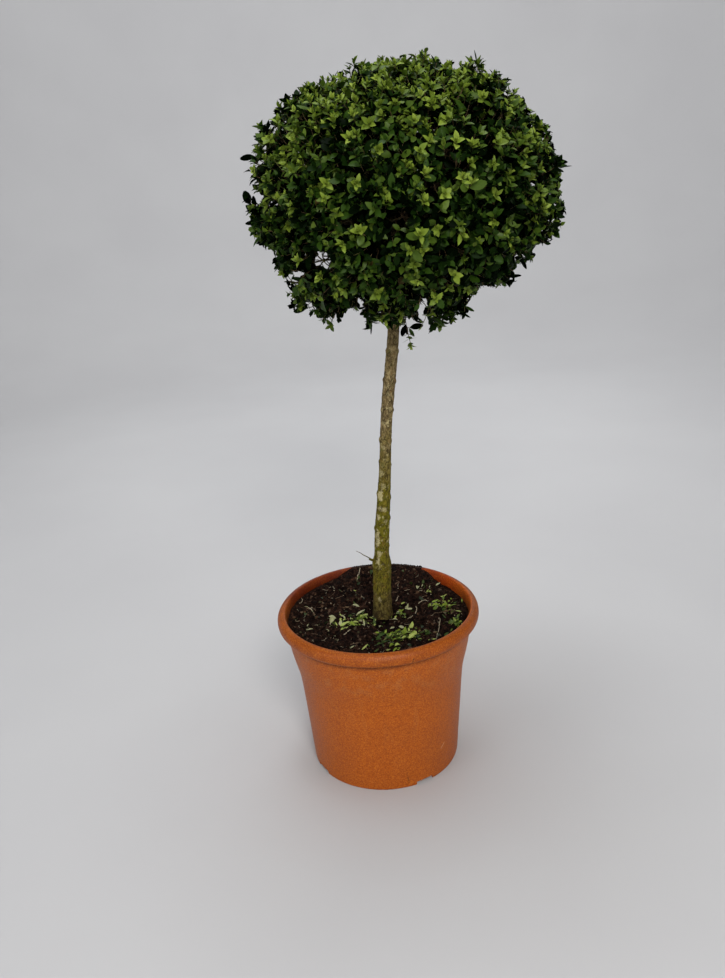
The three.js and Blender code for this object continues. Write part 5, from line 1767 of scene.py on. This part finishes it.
# ----------------------------------------------------- clippings on the bed
DROPPED = [
    (-30, -3, -17, 14, 4), (-23, -8, -13, 8, 3), (-21, -8, -20, -27, 4), (-28, -18, -21, -5, 2), (-52, -31, -37, -24, 4), (-37, -24, -25, -29, 4),
    (-66, -20, -58, -6, 5), (-68, -1, -57, -3, 5), (-30, -28, -37, -20, 2), (-33, -10, -27, -18, 3), (-65, -23, -60, -13, 2), (-41, -27, -32, -35, 3),
    (16, -65, 25, -57, 3), (20, -59, 30, -52, 3), (24, -70, 36, -61, 4), (33, -58, 45, -51, 4), (37, -71, 48, -66, 4), (30, -64, 39, -71, 3),
    (42, -59, 50, -63, 3), (41, -46, 46, -35, 4), (17, -70, 15, -59, 2), (25, -76, 34, -74, 3), (-2, -66, 8, -63, 1), (1, -73, 10, -80, 1),
    (-1, -60, 5, -52, 1), (6, -70, 14, -68, 2), (-5, -79, 2, -82, 1), (11, -93, 18, -86, 3), (15, -96, 26, -92, 3), (18, -88, 25, -85, 4),
    (6, -95, 13, -98, 4), (14, -43, 24, -39, 5), (26, -41, 36, -39, 5), (20, -69, 28, -67, 2), (35, -63, 43, -69, 2), (-25, -91, -15, -85, 4),
    (25, -4, 33, 9, 2), (29, 6, 34, -1, 3), (33, 25, 39, 27, 4), (32, 1, 42, -2, 2), (39, 12, 49, 10, 5), (18, -17, 27, -18, 5),
    (90, 39, 103, 33, 4), (76, 22, 88, 28, 3), (97, 12, 107, 15, 4), (75, 8, 86, 10, 3), (76, -2, 83, 3, 2), (106, -5, 114, -14, 4),
    (99, 4, 109, 7, 3), (89, 10, 97, 16, 3), (90, -2, 99, -1, 5), (59, 60, 61, 68, 5), (66, 69, 69, 75, 5), (72, 51, 75, 57, 4),
    (92, -43, 101, -33, 2), (98, -35, 108, -31, 3), (101, -45, 109, -38, 2), (106, -26, 113, -23, 2), (100, -25, 107, -22, 1), (103, -40, 107, -46, 3),
    (52, -60, 59, -58, 1), (59, -68, 67, -63, 1), (70, -62, 77, -58, 6), (84, -71, 91, -66, 1), (54, -73, 61, -71, 6), (-103, 31, -96, 32, 5),
    (-35, 30, -24, 27, 5), (-99, -28, -89, -31, 5), (-97, -19, -96, -13, 5), (-72, -33, -66, -34, 5), (-61, -45, -58, -50, 5), (-40, -85, -33, -85, 5),
]


def make_clippings():
    """Cut shoot tips and single leaves that lie on the compost."""
    at, axis, face, length, width, bend, cup, tone = [], [], [], [], [], [], [], []
    stems = []

    def drop(x, y, yaw, tilt, L, tn, lift=1.6, ratio=0.55, roll=0.0):
        z = float(on_bed(x, y)) + lift
        a = np.array([math.cos(yaw) * math.cos(tilt), math.sin(yaw) * math.cos(tilt), math.sin(tilt)])
        side = np.array([-math.sin(yaw), math.cos(yaw), 0])
        f = np.cross(a, side) * math.cos(roll) + side * math.sin(roll)
        at.append((x, y, z)); axis.append(a); face.append(f * np.sign(f[2] + 1e-6))
        length.append(L); width.append(L * ratio); bend.append(rng.normal(0.3, 0.8)); cup.append(rng.normal(0.3, 0.5)); tone.append(tn)

    def spray(x, y, yaw, n_pairs, tn, L=11.0, tilt=0.15, step=4.6):
        m = n_pairs * step + 5
        d = np.array([math.cos(yaw) * math.cos(tilt), math.sin(yaw) * math.cos(tilt), math.sin(tilt)])
        z0 = float(on_bed(x, y)) + 1.4
        p = np.array([x, y, z0])
        line = p + d * np.linspace(0, m, 6)[:, None]
        floor = on_bed(line[:, 0], line[:, 1]) + 1.0
        line[:, 2] = np.maximum(line[:, 2], floor)
        stems.append(line)
        for j in range(n_pairs):
            q = lerp(line[0], line[-1], (4 + j * step) / m)
            for sgn in (-1, 1):
                yy = yaw + sgn * math.radians(rng.uniform(38, 72))
                tl = tilt + rng.uniform(-0.1, 0.5)
                a = np.array([math.cos(yy) * math.cos(tl), math.sin(yy) * math.cos(tl), math.sin(tl)])
                side = np.array([-math.sin(yy), math.cos(yy), 0])
                f = np.cross(a, side)
                f = f * (np.sign(f[2]) or 1)
                at.append(q); axis.append(a); face.append(unit(f + rng.normal(0, 0.25, 3)))
                LL = L * rng.uniform(0.8, 1.1) * (0.8 if j == n_pairs - 1 else 1)
                length.append(LL); width.append(LL * 0.54); bend.append(rng.normal(0.2, 0.2)); cup.append(rng.normal(0.3, 0.15))
                tone.append(tn + (1 if j == n_pairs - 1 else 0))

    # leaves that lie where the shears dropped them: from stalk to tip, and how pale
    for x0, y0, x1, y1, tn in DROPPED:
        L = math.hypot(x1 - x0, y1 - y0)
        yaw = math.atan2(y1 - y0, x1 - x0)
        drop(x0, y0, yaw, rng.uniform(-0.05, 0.5), min(11.5, max(5.2, L * 1.04)), tn, lift=rng.uniform(1.2, 3.2),
             ratio=rng.uniform(0.36, 0.62), roll=rng.normal(0, 0.45))
    # small bits among them
    for cx, cy, sx, sy, n, tones in ((-32, -14, 17, 11, 52, (0, 1, 2, 3, 4, 4, 5)), (28, -66, 15, 9, 70, (0, 1, 2, 3, 3, 4)), (10, -70, 12, 9, 18, (0, 1, 1, 2)),
                                     (34, 4, 10, 12, 15, (1, 2, 4, 5)), (93, 12, 13, 12, 44, (0, 1, 2, 3, 4, 5, 6)), (102, -38, 7, 9, 16, (1, 2, 2, 3)),
                                     (66, 62, 14, 12, 6, (1, 4, 5)), (70, -63, 14, 7, 9, (0, 1, 6)), (-30, 76, 30, 14, 7, (0, 1, 4)), (60, 84, 26, 10, 5, (0, 1, 2))):
        for _ in range(n):
            drop(cx + rng.normal(0, sx), cy + rng.normal(0, sy), rng.uniform(0, TAU), rng.uniform(-0.1, 0.9), rng.uniform(3.2, 9.0),
                 int(rng.choice(tones)), lift=rng.uniform(0.9, 2.6), ratio=rng.uniform(0.34, 0.6), roll=rng.normal(0, 0.5))
    # cut shoot tips
    for x, y, yaw, n, tn in ((-40, -26, 0.5, 2, 3), (-24, -12, 1.3, 2, 2), (26, -62, 0.4, 3, 3), (38, -68, 0.1, 2, 3), (4, -74, 0.6, 2, 1),
                             (96, -42, 0.8, 2, 2), (92, 6, 0.4, 2, 3), (30, 0, 1.1, 1, 2)):
        spray(x, y, yaw, n, tn, L=rng.uniform(7.5, 10), tilt=rng.uniform(0.02, 0.35))
    # single leaves elsewhere, some already brown
    n = 34
    x, y, _ = scatter_on_bed(n, 20, 116)
    for i in range(n):
        drop(x[i], y[i], rng.uniform(0, TAU), rng.uniform(-0.1, 0.35), rng.uniform(4, 10), int(rng.choice([0, 0, 1, 1, 6, 6])), lift=rng.uniform(0.8, 1.8))
    # narrow pale blades on top of the heap left of the stem: from stalk to tip, how pale, how wide, how high
    for x0, y0, x1, y1, tn, ratio, lift in ((-30, -5, -17.5, 9, 5, 0.22, 4.2), (-22, -9, -14.5, 3.5, 4, 0.50, 3.2), (-20.5, -14, -19.4, -33, 5, 0.14, 3.0),
                                            (-41, -28.5, -28.5, -27, 4, 0.26, 2.8), (-52, -37, -44.5, -29.5, 4, 0.32, 2.4), (-30, -13, -24, -4, 3, 0.45, 2.2)):
        drop(x0, y0, math.atan2(y1 - y0, x1 - x0), 0.06, math.hypot(x1 - x0, y1 - y0), tn, lift=lift, ratio=ratio)
        bend[-1], cup[-1] = 0.1, 0.25
    at, axis, face = np.array(at), np.array(axis), np.array(face)
    inside = np.hypot(at[:, 0] + axis[:, 0] * 10, at[:, 1] + axis[:, 1] * 10) < 123
    length, width, bend, cup, tone = (np.array(q) for q in (length, width, bend, cup, tone))
    v, quads, tris = leaf_mesh(at, axis, face, length, width, bend, cup, np.ones(len(at)), 5, (0.12, 0.34, 0.62, 0.86, 1.0), NEW_W)
    # no blade dips into the bed
    floor = on_bed(v[..., 0], v[..., 1]) + 0.35
    v[..., 2] = np.maximum(v[..., 2], floor)
    v, tone = v[inside], tone[inside]
    m = len(v)
    shift = (np.arange(m) * v.shape[1])[:, None, None]
    mats = []
    for k, c in enumerate(((0.012, 0.024, 0.004), (0.034, 0.062, 0.008), (0.085, 0.135, 0.014), (0.190, 0.260, 0.026),
                           (0.370, 0.430, 0.105), (0.380, 0.380, 0.200), (0.100, 0.058, 0.024))):
        mats.append(Surface(f"clipping_{k + 1}", base=(*c, 1), rough=0.5, specular=0.3).m)
    tone = np.clip(tone, 0, 6).astype(int)
    o = mesh_object("clippings", v.reshape(-1, 3), (quads[None] + shift).reshape(-1, 4), (tris[None] + shift).reshape(-1, 3),
                    mats, qmat=np.repeat(tone, len(quads)), tmat=np.repeat(tone, len(tris)))
    piece(o, "foliage")
    sv, sq = tubes(np.array(stems), np.tile(np.interp(np.linspace(0, 1, 6), [0, 1], [0.6, 0.35]), (len(stems), 1)), 5)
    s2 = Surface("green_stalk", rough=0.55)
    w2 = s2.coords()
    s2.colour(s2.ramp(s2.noise(w2, 300, 3, 0.5), [(0.35, srgb(104, 104, 44)), (0.65, srgb(158, 152, 92))]))
    o = mesh_object("clipping_stalks", sv, sq, mats=[s2.m])
    piece(o, "foliage")


make_clippings()

# ------------------------------------------------------------ floor and light
def make_stage():
    prof = [(0.0, 0.0), (0.6, 0.0), (1.4, 0.0), (2.4, 0.0)]
    for k in range(1, 17):
        a = k / 16 * math.pi / 2
        prof.append((2.4 + 1.6 * math.sin(a), 1.6 - 1.6 * math.cos(a)))
    prof += [(4.0, 2.2), (4.0, 3.4)]
    seg = 96
    ang = np.arange(seg) * TAU / seg
    r = np.array([q[0] for q in prof[1:]])[:, None]
    z = np.array([q[1] for q in prof[1:]])[:, None] + 0 * ang
    verts = np.stack([r * np.cos(ang), r * np.sin(ang), z], -1).reshape(-1, 3)
    verts = np.concatenate([verts, [[0, 0, 0]]]) / MM
    c = np.arange(seg)
    tris = np.stack([np.full(seg, len(verts) - 1), c, (c + 1) % seg], -1)
    s = Surface("pale_floor", rough=0.9, specular=0.1)
    w = s.coords()
    s.colour(s.ramp(s.noise(w, 2.2, 3, 0.5), [(0.3, (0.528, 0.522, 0.530, 1)), (0.7, (0.554, 0.549, 0.555, 1))]))
    o = mesh_object("floor", verts, grid(len(prof) - 1, seg)[:, ::-1], tris, [s.m])


make_stage()


def area_light(name, at, aim_at, size, power, colour=(1, 1, 1)):
    d = bpy.data.lights.new(name, "AREA")
    d.shape = "DISK"
    d.size = size
    d.energy = power
    d.color = colour
    o = bpy.data.objects.new(name, d)
    o.location = at
    o.rotation_euler = (Vector(aim_at) - Vector(at)).to_track_quat("-Z", "Y").to_euler()
    scene.collection.objects.link(o)
    return o


area_light("key", (0.30, -2.2, 2.0), (0.04, 0, 0.5), 0.9, 41, (1.0, 0.985, 0.95))
area_light("low", (0.25, -2.3, 0.75), (0.04, 0, 0.6), 1.1, 8, (1.0, 0.99, 0.96))
area_light("top", (0.0, 0.15, 2.8), (0.05, 0, 0.6), 1.5, 34, (0.97, 0.99, 1.0))
area_light("fill", (-1.9, -1.4, 1.2), (0.03, 0, 0.5), 1.6, 13, (0.93, 0.96, 1.0))
area_light("fill_right", (2.0, -1.3, 1.2), (0.03, 0, 0.6), 1.6, 4, (0.96, 0.98, 1.0))
area_light("behind", (0.9, 2.2, 1.7), (0.04, 0, 0.6), 1.6, 5, (0.96, 0.98, 1.0))
area_light("backdrop", (0.0, 1.35, 2.6), (0, 3.7, 0.9), 1.6, 44, (0.97, 0.99, 1.0))

world = scene.world or bpy.data.worlds.new("world")
scene.world = world
world.use_nodes = True
bg = next(n for n in world.node_tree.nodes if n.type == "BACKGROUND")
bg.inputs["Color"].default_value = (0.93, 0.95, 1.0, 1)
bg.inputs["Strength"].default_value = 0.11
scene.view_settings.view_transform = "Standard"
scene.view_settings.look = "None"
scene.view_settings.exposure = 0
scene.view_settings.gamma = 1
